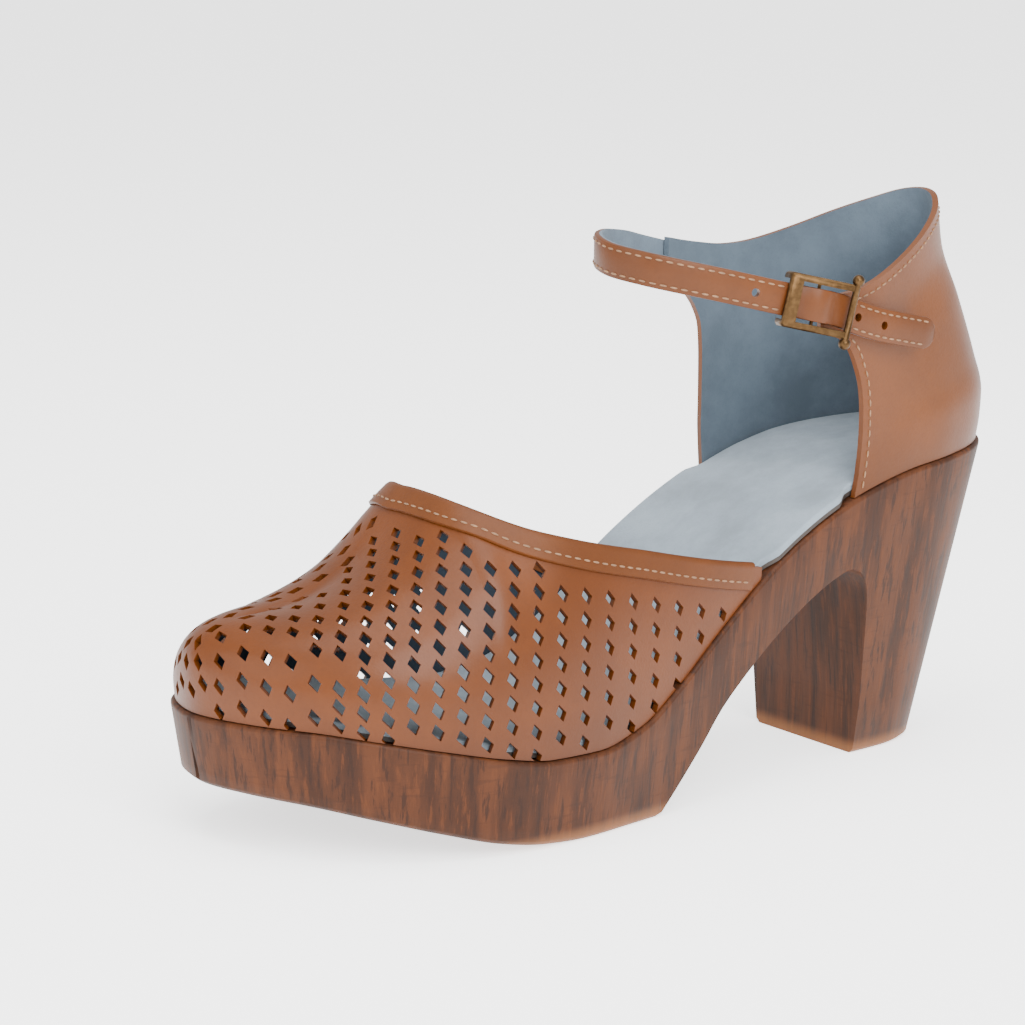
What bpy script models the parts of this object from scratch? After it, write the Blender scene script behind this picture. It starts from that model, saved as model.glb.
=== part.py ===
"""A heeled clog for the left foot: a carved wooden sole, a perforated leather vamp with a
folded top edge, a closed heel counter, and an ankle strap that passes through a buckle.

Units are metres, +Z is up, +X runs from heel to toe and +Y is the outer side of the foot.
The shoe is modelled from the back of its wood and is centred on its own box at the end.
"""

import math

import bmesh
import bpy
import numpy as np
from mathutils import Vector
from mathutils.bvhtree import BVHTree

# Driving sizes of the wooden sole
SOLE_LENGTH = 0.242
BALL_WIDTH = 0.0864
SEAT_HEIGHT = 0.0822
TOP_EDGE_ROUND = 0.0012
WALL_LEAN = 0.0028
HEEL_BACK_LEAN = 0.0212
HEEL_TREAD_LENGTH = 0.0322
HEEL_TREAD_WIDTH = 0.0392
SEAT_LENGTH = 0.057
SEAT_WIDTH = 0.0605
SOLE_STATIONS = 58

# Insole
INSOLE_THICKNESS = 0.0030
INSOLE_ROUND = 0.0007
INSOLE_EDGE_INSET = 0.0009

# Leather walls and how they stand on the wood
LEATHER = 0.0016
UPPER_INSET = 0.0012
FIT_GAP = 0.0003
INSOLE_GAP = 0.0007
INSOLE_LIFT = 0.0005

# Vamp
VAMP_BACK_OUTER = 0.0990
VAMP_BACK_INNER = 0.1135
THROAT_X = 0.1858
RIDGE_HEIGHT = 0.0845
TOE_CENTRE_X = 0.2225
VAMP_BULGE = 0.0022
VAMP_COLUMNS = 28
VAMP_ROWS = 8

# Folded strip along the vamp's top edge
STRIP_WIDTH = 0.0060
STRIP_THICKNESS = 0.0007
STRIP_GAP = 0.0004
STRIP_INNER_GAP = 0.0005
STRIP_STEP = 0.003
STRIP_END_SKIP = 0.004

# Perforations: diamonds where two families of lines cross on the vamp. Rows lie in planes
# that tilt more the higher they are, columns lie in upright planes at even steps. Across
# the centre line of the toe the two families change places.
HOLE_LONG = 0.0036
HOLE_SHORT = 0.0034
HOLE_MARGIN = 0.0012
HOLE_SPACING = 0.0043
CUT_EVERY = 2
CENTRE_Y = -0.0055
ROW_ORIGIN = (0.190, 0.035, 0.0663)
ROW_STEP = 0.0054
ROW_SLOPE_ALONG = 0.22
ROW_SLOPE_ALONG_STEP = -0.018
ROW_SLOPE_ACROSS = 0.31
ROW_SLOPE_ACROSS_STEP = 0.039
COLUMN_HEADING = (0.6, 0.8)
COLUMN_START = -0.1976
COLUMN_STEP = 0.0058
COLUMN_COUNT = 26
ROW_LOWEST = -11
ROW_HIGHEST = 22

# Heel counter
COUNTER_PEAK = 0.1492
COUNTER_BACK_LEAN = 0.0140
EAR_END_OUTER = 0.0795
EAR_END_INNER = 0.0860
COUNTER_COLUMNS = 34
COUNTER_ROWS = 11

# Ankle strap
STRAP_WIDTH = 0.0084
STRAP_THICKNESS = 0.0020
STRAP_TIP_LENGTH = 0.0040
STRAP_HOLE = 0.0011
STRAP_HOLE_PITCH = 0.0098
STRAP_HOLE_COUNT = 5
STRAP_STEP = 0.0035

# Buckle
BUCKLE_LENGTH = 0.0200
BUCKLE_WIDTH = 0.0140
RAIL_WIDTH = 0.0018
RAIL_DEPTH = 0.0041
BAR_THICKNESS = 0.0013
FRONT_BAR_LENGTH = 0.0038
FRAME_BEVEL = 0.0007
CENTRE_BAR_RADIUS = 0.0005
PIN_RADIUS = 0.0009
KNOB_RADIUS = 0.0016
TAB_WIDTH = 0.0076
TAB_LEAF = 0.0012
TAB_LOOP_WALL = 0.0008
TAB_LENGTH = 0.0170

COLLECTION_NAME = "clog"

# Sole seen from above. Columns: share of SOLE_LENGTH, outer and inner edge in shares of
# BALL_WIDTH. The two tips close it.
HEEL_TIP = (0.0, 0.0)
TOE_TIP = (1.0, -0.120)
OUTLINE = [
    (0.017, 0.150, -0.150),
    (0.058, 0.257, -0.257),
    (0.116, 0.319, -0.319),
    (0.178, 0.343, -0.340),
    (0.236, 0.355, -0.342),
    (0.293, 0.362, -0.338),
    (0.352, 0.374, -0.337),
    (0.412, 0.391, -0.338),
    (0.471, 0.412, -0.339),
    (0.529, 0.435, -0.354),
    (0.588, 0.463, -0.381),
    (0.647, 0.490, -0.420),
    (0.707, 0.500, -0.465),
    (0.765, 0.492, -0.492),
    (0.823, 0.450, -0.500),
    (0.884, 0.368, -0.477),
    (0.943, 0.221, -0.409),
    (0.981, 0.055, -0.312),
]

# Sole seen from the side. Columns: share of SOLE_LENGTH, height of the top face and of the
# tread in shares of SEAT_HEIGHT.
PROFILE = [
    (0.000, 1.000, 0.000),
    (0.058, 0.989, 0.000),
    (0.116, 0.974, 0.000),
    (0.178, 0.954, 0.000),
    (0.236, 0.917, 0.000),
    (0.293, 0.861, 0.000),
    (0.352, 0.780, 0.000),
    (0.412, 0.673, 0.000),
    (0.471, 0.544, 0.000),
    (0.529, 0.410, 0.000),
    (0.587, 0.309, 0.000),
    (0.649, 0.269, 0.000),
    (0.707, 0.271, 0.009),
    (0.764, 0.296, 0.036),
    (0.822, 0.332, 0.081),
    (0.884, 0.369, 0.131),
    (0.942, 0.394, 0.170),
    (1.000, 0.398, 0.188),
]

# Arch between heel and forefoot, from the foot of the breast to the forefoot's back edge.
# Columns: share of SOLE_LENGTH, share of SEAT_HEIGHT.
ARCH = [
    (0.222, -0.080),
    (0.221, 0.185),
    (0.226, 0.353),
    (0.232, 0.530),
    (0.238, 0.596),
    (0.249, 0.637),
    (0.265, 0.652),
    (0.286, 0.637),
    (0.321, 0.592),
    (0.377, 0.496),
    (0.428, 0.387),
    (0.463, 0.299),
    (0.494, 0.189),
    (0.529, 0.073),
    (0.556, -0.010),
    (0.575, -0.080),
]

# Ridge of the last under the vamp. Columns: share of SOLE_LENGTH, height in shares of
# RIDGE_HEIGHT, place across in shares of BALL_WIDTH, roundness of the section on the outer
# and on the inner side.
RIDGE = [
    (0.405, 1.360, -0.030, 2.1, 2.0),
    (0.529, 1.280, -0.040, 2.1, 1.9),
    (0.636, 1.190, -0.050, 2.2, 1.8),
    (0.678, 1.150, -0.060, 2.2, 1.7),
    (0.711, 1.085, -0.055, 2.2, 1.6),
    (0.736, 1.035, -0.055, 2.2, 1.55),
    (0.756, 1.004, -0.056, 2.2, 1.5),
    (0.770, 0.962, -0.060, 2.2, 1.5),
    (0.788, 0.888, -0.065, 2.25, 1.5),
    (0.806, 0.818, -0.070, 2.3, 1.5),
    (0.835, 0.744, -0.076, 2.4, 1.55),
    (0.876, 0.682, -0.086, 2.6, 1.8),
    (0.924, 0.652, -0.098, 2.9, 2.4),
]

# Top edge of the vamp seen from the side. Columns: share of SOLE_LENGTH, height on the outer
# and on the inner side in shares of RIDGE_HEIGHT.
TOPLINE = [
    (0.405, 0.700, 0.480),
    (0.470, 0.733, 0.564),
    (0.529, 0.769, 0.650),
    (0.583, 0.806, 0.724),
    (0.636, 0.840, 0.790),
    (0.678, 0.872, 0.843),
    (0.711, 0.900, 0.888),
    (0.736, 0.932, 0.929),
    (0.756, 0.963, 0.963),
    (0.768, 0.987, 0.987),
]

# Top edge of the heel counter seen from above and from the side. Columns: share of
# SOLE_LENGTH, outer and inner edge in shares of BALL_WIDTH, outer and inner height in
# shares of COUNTER_PEAK.
COUNTER_RIM = [
    (0.0655, 0.000, -0.000, 1.000, 1.000),
    (0.073, 0.075, -0.075, 0.994, 0.995),
    (0.094, 0.148, -0.152, 0.976, 0.977),
    (0.127, 0.217, -0.226, 0.952, 0.953),
    (0.172, 0.281, -0.290, 0.920, 0.923),
    (0.227, 0.331, -0.320, 0.883, 0.901),
    (0.265, 0.353, -0.328, 0.863, 0.897),
    (0.298, 0.358, -0.322, 0.853, 0.903),
    (0.330, 0.347, -0.308, 0.851, 0.911),
    (0.360, 0.330, -0.290, 0.851, 0.920),
    (0.400, 0.300, -0.255, 0.851, 0.930),
]

# How the counter's wall leans from the wood to its top edge. Columns: share of its height,
# share of the lean.
COUNTER_LEAN = [
    (0.00, 0.00),
    (0.10, -0.07),
    (0.20, -0.09),
    (0.36, 0.11),
    (0.60, 0.49),
    (0.82, 0.89),
    (1.00, 1.00),
]

# Front edges of the counter, rising into its two ears. Columns: share of its height, outer
# and inner place in shares of SOLE_LENGTH. The ears' ends are sizes of their own.
COUNTER_FRONT = [
    (0.00, 0.270, 0.288),
    (0.12, 0.264, 0.290),
    (0.25, 0.261, 0.292),
    (0.40, 0.262, 0.293),
    (0.52, 0.266, 0.294),
    (0.64, 0.276, 0.297),
    (0.73, 0.287, 0.308),
    (0.79, 0.300, 0.322),
]
EAR_START_SHARE = 0.84

# Middle line of the ankle strap, from its sewn end on the inner ear, round the front of the
# ankle, through the buckle to its loose tip. Columns: share of SOLE_LENGTH, share of
# BALL_WIDTH, share of COUNTER_PEAK.
STRAP_LINE = [
    (0.269, -0.3475, 0.8545),
    (0.310, -0.3380, 0.8680),
    (0.355, -0.3100, 0.8840),
    (0.400, -0.2600, 0.9000),
    (0.442, -0.2000, 0.9150),
    (0.490, -0.1200, 0.9250),
    (0.520, -0.0350, 0.9230),
    (0.529, 0.0600, 0.9150),
    (0.515, 0.1640, 0.9050),
    (0.488, 0.2290, 0.8935),
    (0.450, 0.2850, 0.8790),
    (0.407, 0.3330, 0.8620),
    (0.384, 0.3560, 0.8530),
    (0.347, 0.3850, 0.8400),
    (0.318, 0.3980, 0.8280),
    (0.290, 0.4030, 0.8110),
    (0.260, 0.4000, 0.7970),
    (0.225, 0.3950, 0.7850),
    (0.180, 0.3900, 0.7700),
]
BUCKLE_PLACE = 0.347
BUCKLE_SEARCH_FROM = 0.5


def slopes(xs, ys):
    """Slope at each point of a curve that does not overshoot its points."""
    step = np.diff(ys) / np.diff(xs)
    slope = np.empty(len(xs))
    slope[0] = step[0]
    slope[-1] = step[-1]
    for i in range(1, len(xs) - 1):
        before, after = step[i - 1], step[i]
        slope[i] = 0.0 if before * after <= 0 else 2 * before * after / (before + after)
    return slope


def read(table, column, share):
    """Read one column of a table smoothly at a share of its first column."""
    xs = np.array([row[0] for row in table], float)
    ys = np.array([row[column] for row in table], float)
    slope = slopes(xs, ys)
    place = min(max(share, xs[0]), xs[-1])
    i = min(int(np.searchsorted(xs, place, side="right")) - 1, len(xs) - 2)
    width = xs[i + 1] - xs[i]
    t = (place - xs[i]) / width
    return float(
        ys[i] * (1 + 2 * t) * (1 - t) ** 2
        + slope[i] * width * t * (1 - t) ** 2
        + ys[i + 1] * t * t * (3 - 2 * t)
        + slope[i + 1] * width * t * t * (t - 1)
    )


def smooth_line(points, closed=False, steps=12):
    """Dense points on a smooth curve through the given points."""
    points = [np.array(p, float) for p in points]
    count = len(points)
    spans = count if closed else count - 1
    dense = []
    for i in range(spans):
        if closed:
            p0, p1, p2, p3 = (points[(i + k) % count] for k in (-1, 0, 1, 2))
        else:
            p1, p2 = points[i], points[i + 1]
            p0 = points[i - 1] if i > 0 else 2 * p1 - p2
            p3 = points[i + 2] if i + 2 < count else 2 * p2 - p1
        d1 = np.linalg.norm(p1 - p0) ** 0.5
        d2 = np.linalg.norm(p2 - p1) ** 0.5
        d3 = np.linalg.norm(p3 - p2) ** 0.5
        m1 = (p1 - p0) / d1 - (p2 - p0) / (d1 + d2) + (p2 - p1) / d2
        m2 = (p2 - p1) / d2 - (p3 - p1) / (d2 + d3) + (p3 - p2) / d3
        for k in range(steps):
            t = k / steps
            dense.append(
                p1 * (1 + 2 * t) * (1 - t) ** 2
                + m1 * d2 * t * (1 - t) ** 2
                + p2 * t * t * (3 - 2 * t)
                + m2 * d2 * t * t * (t - 1)
            )
    if not closed:
        dense.append(points[-1])
    return np.array(dense)


def arc_lengths(points):
    """Running length along a row of points."""
    steps = np.linalg.norm(np.diff(points, axis=0), axis=1)
    return np.concatenate([[0.0], np.cumsum(steps)])


class WoodEdge:
    """The wood's edge seen from above: a closed line from the heel tip along the outer side
    to the toe tip and back along the inner side."""

    steps = 12
    reach = 0.0015

    def __init__(self):
        outer = [(row[0], row[1]) for row in OUTLINE]
        inner = [(row[0], row[2]) for row in OUTLINE]
        loop = [HEEL_TIP] + outer + [TOE_TIP] + inner[::-1]
        sized = [(x * SOLE_LENGTH, y * BALL_WIDTH) for x, y in loop]
        dense = smooth_line(sized, closed=True, steps=self.steps)
        self.points = np.vstack([dense, dense[:1]])
        self.lengths = arc_lengths(self.points)
        self.total = self.lengths[-1]
        self.toe = (len(outer) + 1) * self.steps
        self.outer_length = self.lengths[self.toe]

    def place(self, side, share):
        """Length along the closed line at a share of one side, counted from the heel tip."""
        if side == 1:
            return share * self.outer_length
        return self.total - share * (self.total - self.outer_length)

    def point(self, place):
        place = place % self.total
        return np.array([np.interp(place, self.lengths, self.points[:, k]) for k in (0, 1)])

    def inward(self, place):
        run = self.point(place + self.reach) - self.point(place - self.reach)
        run = run / np.linalg.norm(run)
        return np.array([run[1], -run[0]])

    def share_at_x(self, side, x):
        """Share of one side's length at which it reaches x."""
        if side == 1:
            xs = self.points[: self.toe + 1, 0]
            lengths = self.lengths[: self.toe + 1]
        else:
            xs = self.points[self.toe:, 0][::-1]
            lengths = (self.total - self.lengths[self.toe:])[::-1]
        return float(np.interp(x, xs, lengths) / lengths[-1])


EDGE = WoodEdge()


def edge_at(side, share, inset):
    """Point on the wood's edge at a share of one side's length, moved in by inset."""
    place = EDGE.place(side, share)
    return EDGE.point(place) + EDGE.inward(place) * inset


def share_at_x(side, x):
    return EDGE.share_at_x(side, x)


def wood_top(x):
    return read(PROFILE, 1, x / SOLE_LENGTH) * SEAT_HEIGHT


def wood_tread(x):
    return read(PROFILE, 2, x / SOLE_LENGTH) * SEAT_HEIGHT


def blend(value, low, high):
    """Rise smoothly from 0 at low to 1 at high."""
    t = min(max((value - low) / (high - low), 0.0), 1.0)
    return t * t * (3 - 2 * t)


def foot_point(side, share):
    """Point on the sole's tread below one point of its top edge."""
    top = edge_at(side, share, 0.0)
    leaned = edge_at(side, share, WALL_LEAN)
    along = top[0] / SEAT_LENGTH
    heel_x = HEEL_BACK_LEAN + along * HEEL_TREAD_LENGTH
    heel_y = top[1] * HEEL_TREAD_WIDTH / SEAT_WIDTH
    ahead = blend(top[0], SEAT_LENGTH, 2.1 * SEAT_LENGTH)
    x = heel_x + (leaned[0] - heel_x) * ahead
    y = heel_y + (leaned[1] - heel_y) * ahead
    return np.array([x, y])


def new_mesh_object(name, bm, collection):
    """Finish a bmesh as a named object."""
    mesh = bpy.data.meshes.new(name)
    bm.to_mesh(mesh)
    bm.free()
    obj = bpy.data.objects.new(name, mesh)
    collection.objects.link(obj)
    return obj


def loft(rings, name, collection, cap=True):
    """Skin a row of closed rings that have as many points each."""
    bm = bmesh.new()
    loops = [[bm.verts.new(point) for point in ring] for ring in rings]
    count = len(loops[0])
    for first, second in zip(loops, loops[1:]):
        for i in range(count):
            j = (i + 1) % count
            bm.faces.new((first[i], first[j], second[j], second[i]))
    if cap:
        bm.faces.new(loops[0][::-1])
        bm.faces.new(loops[-1])
    bmesh.ops.recalc_face_normals(bm, faces=bm.faces)
    if bm.calc_volume(signed=True) < 0:
        bmesh.ops.reverse_faces(bm, faces=bm.faces)
    return new_mesh_object(name, bm, collection)


def prism(outline, axis, half_width, name, collection):
    """Flat outline in the XZ plane pushed both ways along Y, as a cutter."""
    bm = bmesh.new()
    verts = [bm.verts.new((x, axis - half_width, z)) for x, z in outline]
    face = bm.faces.new(verts)
    pushed = bmesh.ops.extrude_face_region(bm, geom=[face])
    moved = [item for item in pushed["geom"] if isinstance(item, bmesh.types.BMVert)]
    bmesh.ops.translate(bm, verts=moved, vec=(0.0, 2 * half_width, 0.0))
    bmesh.ops.recalc_face_normals(bm, faces=bm.faces)
    return new_mesh_object(name, bm, collection)


def mark_cutter(obj):
    obj.hide_render = True
    obj.display_type = "WIRE"


def boolean(obj, cutter, operation):
    """Cut or join with the exact solver."""
    modifier = obj.modifiers.new(cutter.name, "BOOLEAN")
    modifier.object = cutter
    modifier.operation = operation
    modifier.solver = "EXACT"


def paint(obj, name, colour, roughness, metallic=0.0):
    """Give an object its own Principled material."""
    material = bpy.data.materials.new(name)
    material.use_nodes = True
    shader = material.node_tree.nodes["Principled BSDF"]
    shader.inputs["Base Color"].default_value = (*colour, 1.0)
    shader.inputs["Roughness"].default_value = roughness
    shader.inputs["Metallic"].default_value = metallic
    obj.data.materials.append(material)


def smooth_shading(obj, degrees=40):
    obj.data.shade_smooth()
    obj.data.set_sharp_from_angle(angle=math.radians(degrees))


def station_shares():
    """Places of the sole's sections as shares of its sides, from just past each tip."""
    first, last = 0.004, 0.997
    return [first + (last - first) * i / SOLE_STATIONS for i in range(SOLE_STATIONS + 1)]


def make_wood_sole(parts, cutters):
    """The carved sole: seat, waist, forefoot and heel in one piece of wood."""
    rings = []
    for share in station_shares():
        ring = []
        for side in (1, -1):
            edge = edge_at(side, share, 0.0)
            inner = edge_at(side, share, TOP_EDGE_ROUND)
            foot = foot_point(side, share)
            top = wood_top(edge[0])
            tread = wood_tread(foot[0])
            edge_share = TOP_EDGE_ROUND / (top - tread)
            low = foot + (edge - foot) * edge_share
            sole_in = foot + (inner - edge)
            half = [
                (inner[0], inner[1], top),
                (edge[0] + (foot[0] - edge[0]) * edge_share,
                 edge[1] + (foot[1] - edge[1]) * edge_share, top - TOP_EDGE_ROUND),
                (low[0], low[1], tread + TOP_EDGE_ROUND),
                (sole_in[0], sole_in[1], tread),
            ]
            ring += half if side == 1 else half[::-1]
        rings.append(ring)
    sole = loft(rings, "wood_sole", parts)
    outline = [(x * SOLE_LENGTH, z * SEAT_HEIGHT) for x, z in ARCH]
    arch = prism(outline, 0.0, BALL_WIDTH, "arch_cutter", cutters)
    mark_cutter(arch)
    boolean(sole, arch, "DIFFERENCE")
    paint(sole, "brown_wood", (0.30, 0.165, 0.085), 0.42)
    return sole


def insole_inset(side, x):
    """How far the insole's edge lies in from the wood's edge."""
    covered = UPPER_INSET + LEATHER + INSOLE_GAP
    counter_front = read(COUNTER_FRONT, 1 if side == 1 else 2, 0.0) * SOLE_LENGTH
    vamp_back = VAMP_BACK_OUTER if side == 1 else VAMP_BACK_INNER
    step = 0.005
    behind = 1 - blend(x, counter_front + 0.001, counter_front + 0.001 + step)
    ahead = blend(x, vamp_back - 0.002 - step, vamp_back - 0.002)
    return INSOLE_EDGE_INSET + (covered - INSOLE_EDGE_INSET) * max(behind, ahead)


def make_insole(parts):
    """The padded insole, flush with the wood at the waist and inside the upper elsewhere."""
    rings = []
    for share in station_shares()[1:-1]:
        ring = []
        for side in (1, -1):
            x = edge_at(side, share, 0.0)[0]
            inset = insole_inset(side, x)
            edge = edge_at(side, share, inset)
            inner = edge_at(side, share, inset + INSOLE_ROUND)
            low = wood_top(edge[0]) + INSOLE_LIFT
            high = low + INSOLE_THICKNESS
            half = [
                (inner[0], inner[1], high),
                (edge[0], edge[1], high - INSOLE_ROUND),
                (edge[0], edge[1], low),
            ]
            ring += half if side == 1 else half[::-1]
        rings.append(ring)
    insole = loft(rings, "insole", parts)
    paint(insole, "insole_leather", (0.33, 0.43, 0.52), 0.75)
    return insole


def vamp_ridge(x):
    """Highest point of the vamp's section at x."""
    share = x / SOLE_LENGTH
    height = read(RIDGE, 1, share) * RIDGE_HEIGHT
    across = read(RIDGE, 2, share) * BALL_WIDTH
    return np.array([x, across, height])


def vamp_columns(side, count):
    """Places of the vamp's columns as shares of one side's edge, back end to toe tip."""
    back = share_at_x(side, VAMP_BACK_OUTER if side == 1 else VAMP_BACK_INNER)
    throat = share_at_x(side, THROAT_X)
    rear = int(round(count * 0.55))
    shares = [back + (throat - back) * math.sin(math.pi / 2 * i / rear) ** 0.9
              for i in range(rear)]
    shares += [throat + (1 - throat) * i / (count - rear) for i in range(count - rear + 1)]
    return shares


def vamp_point(side, share, rise, lift=0.0):
    """Point of the vamp's outer face. rise is 0 on the wood and 1 at the top edge or ridge."""
    edge = edge_at(side, share, UPPER_INSET)
    seam = edge_at(side, share, UPPER_INSET - 0.001) - edge
    outward = np.array([*seam, 0.0]) / np.linalg.norm(seam)
    front = share_at_x(side, THROAT_X)
    over = max(share - front, 0.0) / (1.0 - front)
    ridge_x = edge_at(side, share, 0.0)[0]
    if share >= front:
        ridge_x = THROAT_X + (TOE_CENTRE_X - THROAT_X) * over ** 0.9
    ridge = vamp_ridge(ridge_x)
    toe_share = blend(over, 0.6, 1.0)
    own = read(RIDGE, 3 if side == 1 else 4, ridge_x / SOLE_LENGTH)
    roundness = own + (read(RIDGE, 3, ridge_x / SOLE_LENGTH) - own) * toe_share
    floor = wood_top(edge[0]) + FIT_GAP
    base = np.array([edge[0], edge[1], floor])
    high = 1.0
    if share < front:
        top = read(TOPLINE, 1 if side == 1 else 2, edge[0] / SOLE_LENGTH) * RIDGE_HEIGHT
        level = min(max((top - floor) / (ridge[2] - floor), 0.0), 1.0)
        high = math.asin(level ** (roundness / 2)) / (math.pi / 2)
    angle = math.pi / 2 * rise * high
    out = math.cos(angle) ** (2 / roundness) if angle < math.pi / 2 - 1e-9 else 0.0
    up = math.sin(angle) ** (2 / roundness) if angle > 0 else 0.0
    point = ridge + (base - ridge) * np.array([out, out, 1.0])
    point[2] = floor + (ridge[2] - floor) * up
    point = point + outward * VAMP_BULGE * math.sin(min(2 * angle, math.pi))
    point[2] += lift
    return point


def rise_shares(rows):
    """Even steps up the wall, closer together near the wood."""
    return [(k / rows) ** 1.25 for k in range(rows + 1)]


def vamp_face(columns, rows):
    """Open outer face of the vamp as a bmesh."""
    bm = bmesh.new()
    grids = {}
    for side in (1, -1):
        shares = vamp_columns(side, columns)
        grids[side] = [
            [bm.verts.new(vamp_point(side, share, rise)) for rise in rise_shares(rows)]
            for share in shares
        ]
    for side, grid in grids.items():
        for left, right in zip(grid, grid[1:]):
            for k in range(rows):
                corners = (left[k], right[k], right[k + 1], left[k + 1])
                bm.faces.new(corners if side == -1 else corners[::-1])
    bmesh.ops.remove_doubles(bm, verts=bm.verts, dist=0.00005)
    bmesh.ops.recalc_face_normals(bm, faces=bm.faces)
    bm.normal_update()
    top = max(bm.faces, key=lambda f: f.calc_center_median().z)
    if top.normal.z < 0:
        bmesh.ops.reverse_faces(bm, faces=bm.faces)
    return bm


def row_number(x, y, z):
    """Which row of perforations passes through a point of the outer side, whole or between
    two rows."""
    along = x - ROW_ORIGIN[0]
    across = y - ROW_ORIGIN[1]
    rise = z - ROW_ORIGIN[2] - ROW_SLOPE_ALONG * along - ROW_SLOPE_ACROSS * across
    step = ROW_STEP + ROW_SLOPE_ALONG_STEP * along + ROW_SLOPE_ACROSS_STEP * across
    return rise / step


def mirrored_y(y, side):
    """Place across as seen from the outer side of the toe's centre line."""
    return y if side == 1 else 2 * CENTRE_Y - y


def cast_line(tree, centre, heading, low, high, count=110):
    """Points of the vamp hit by a fan of rays in one upright plane."""
    points = []
    for k in range(count + 1):
        angle = math.radians(low + (high - low) * k / count)
        flat = math.sin(angle)
        hit = tree.ray_cast(centre, Vector((heading[0] * flat, heading[1] * flat, math.cos(angle))))
        if hit[0] is not None:
            points.append(np.array(hit[0]))
    return np.array(points)


def column_line(tree, plane, side):
    """Points down one side of the vamp in an upright plane, from the centre line on."""
    ahead, aside = COLUMN_HEADING
    ridge_x = (ahead * CENTRE_Y - plane) / aside
    shift = min(max((0.215 - ridge_x) / 0.060, 0.0), 1.0) * BALL_WIDTH * 0.27
    x = ridge_x + shift * ahead / aside
    centre = Vector((x, CENTRE_Y + shift * side, wood_top(x) + 0.004))
    line = cast_line(tree, centre, (ahead, aside * side), -75, 130)
    return np.array([p for p in line if mirrored_y(p[1], side) >= CENTRE_Y - 1e-6])


def centre_crossings(tree):
    """Where the lattice meets the toe's centre line: for each column of the outer side the
    row that crosses it there, and for each row the upright plane in which it goes on."""
    ahead, aside = COLUMN_HEADING
    middle = (THROAT_X + SOLE_LENGTH) / 2
    centre = Vector((middle, CENTRE_Y, wood_top(middle) + 0.006))
    line = cast_line(tree, centre, (1.0, 0.0), -70, 100)
    numbers = np.array([row_number(*p) for p in line])
    row_targets = {}
    for column in range(COLUMN_COUNT):
        plane = COLUMN_START + column * COLUMN_STEP
        x = (ahead * CENTRE_Y - plane) / aside
        if x > line[-1][0]:
            continue
        if x >= line[0][0]:
            row_targets[column] = float(np.interp(x, line[:, 0], numbers))
        else:
            row_targets[column] = row_targets[column - 1] + COLUMN_STEP / ROW_STEP
    planes = {}
    for number in range(0, ROW_HIGHEST + 1):
        if number < numbers[0]:
            x = float(np.interp(-number, -numbers, line[:, 0]))
            planes[number] = ahead * CENTRE_Y - aside * x
        else:
            planes[number] = planes[number - 1] + ROW_STEP
    for number in range(-1, ROW_LOWEST - 1, -1):
        x = float(np.interp(-number, -numbers, line[:, 0]))
        plane = ahead * CENTRE_Y - aside * x
        planes[number] = min(plane, planes[number + 1] - 0.85 * ROW_STEP)
    return row_targets, planes


def lattice_points(tree):
    """Every crossing of the lattice on the vamp: row, column, place and the direction down
    the upright line through it."""
    row_targets, planes = centre_crossings(tree)
    lines = []
    for column in range(COLUMN_COUNT):
        targets = [(n, column, float(n)) for n in range(ROW_LOWEST, ROW_HIGHEST + 1)]
        lines.append((COLUMN_START + column * COLUMN_STEP, 1, targets))
    for number, plane in planes.items():
        targets = [(number, column, target) for column, target in row_targets.items()]
        lines.append((plane, -1, targets))
    found = []
    for plane, side, targets in lines:
        line = column_line(tree, plane, side)
        if len(line) < 3:
            continue
        numbers = np.array([row_number(p[0], mirrored_y(p[1], side), p[2]) for p in line])
        for number, column, target in targets:
            if not numbers[-1] < target < numbers[0]:
                continue
            point = np.array([np.interp(-target, -numbers, line[:, k]) for k in range(3)])
            lower = np.array([np.interp(-target + 0.2, -numbers, line[:, k]) for k in range(3)])
            upper = np.array([np.interp(-target - 0.2, -numbers, line[:, k]) for k in range(3)])
            found.append((number, column, point, lower - upper))
    return found


def perforation_places(tree, every):
    """Centre, direction along the row and outward normal of each perforation. Only one in so
    many is kept, and the kept ones are staggered from row to row."""
    places = []
    kept = []
    for number, column, point, down in lattice_points(tree):
        if kept and np.min(np.linalg.norm(np.array(kept) - point, axis=1)) < HOLE_SPACING:
            continue
        kept.append(point)
        if (number + 2 * column) % every:
            continue
        hit, normal, _, _ = tree.find_nearest(Vector(point))
        down = Vector(down) - normal * Vector(down).dot(normal)
        places.append((hit, down.normalized().cross(normal), normal))
    return places


def top_edge_line(columns):
    """Points along the vamp's top edge, from the outer back end to the inner back end."""
    line = []
    for side in (1, -1):
        shares = [s for s in vamp_columns(side, columns) if s <= share_at_x(side, THROAT_X)]
        half = [vamp_point(side, share, 1.0) for share in shares]
        line += half if side == 1 else half[::-1][1:]
    return np.array(line)


def distance_to_line(point, line):
    """Shortest distance from a point to a row of points."""
    starts = line[:-1]
    runs = line[1:] - starts
    spans = np.maximum((runs ** 2).sum(axis=1), 1e-12)
    shares = np.clip(((point - starts) * runs).sum(axis=1) / spans, 0, 1)
    nearest = starts + runs * shares[:, None]
    return float(np.min(np.linalg.norm(nearest - point, axis=1)))


def clear_of_edges(point, top_line):
    """Whether a perforation lies wholly between the folded strip and the wood."""
    above_wood = point[2] - wood_top(point[0]) - FIT_GAP
    if above_wood < HOLE_MARGIN + HOLE_LONG / 2:
        return False
    if distance_to_line(point, top_line) < STRIP_WIDTH + HOLE_LONG / 2 + HOLE_MARGIN / 2:
        return False
    return point[0] > VAMP_BACK_OUTER + 0.012


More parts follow.
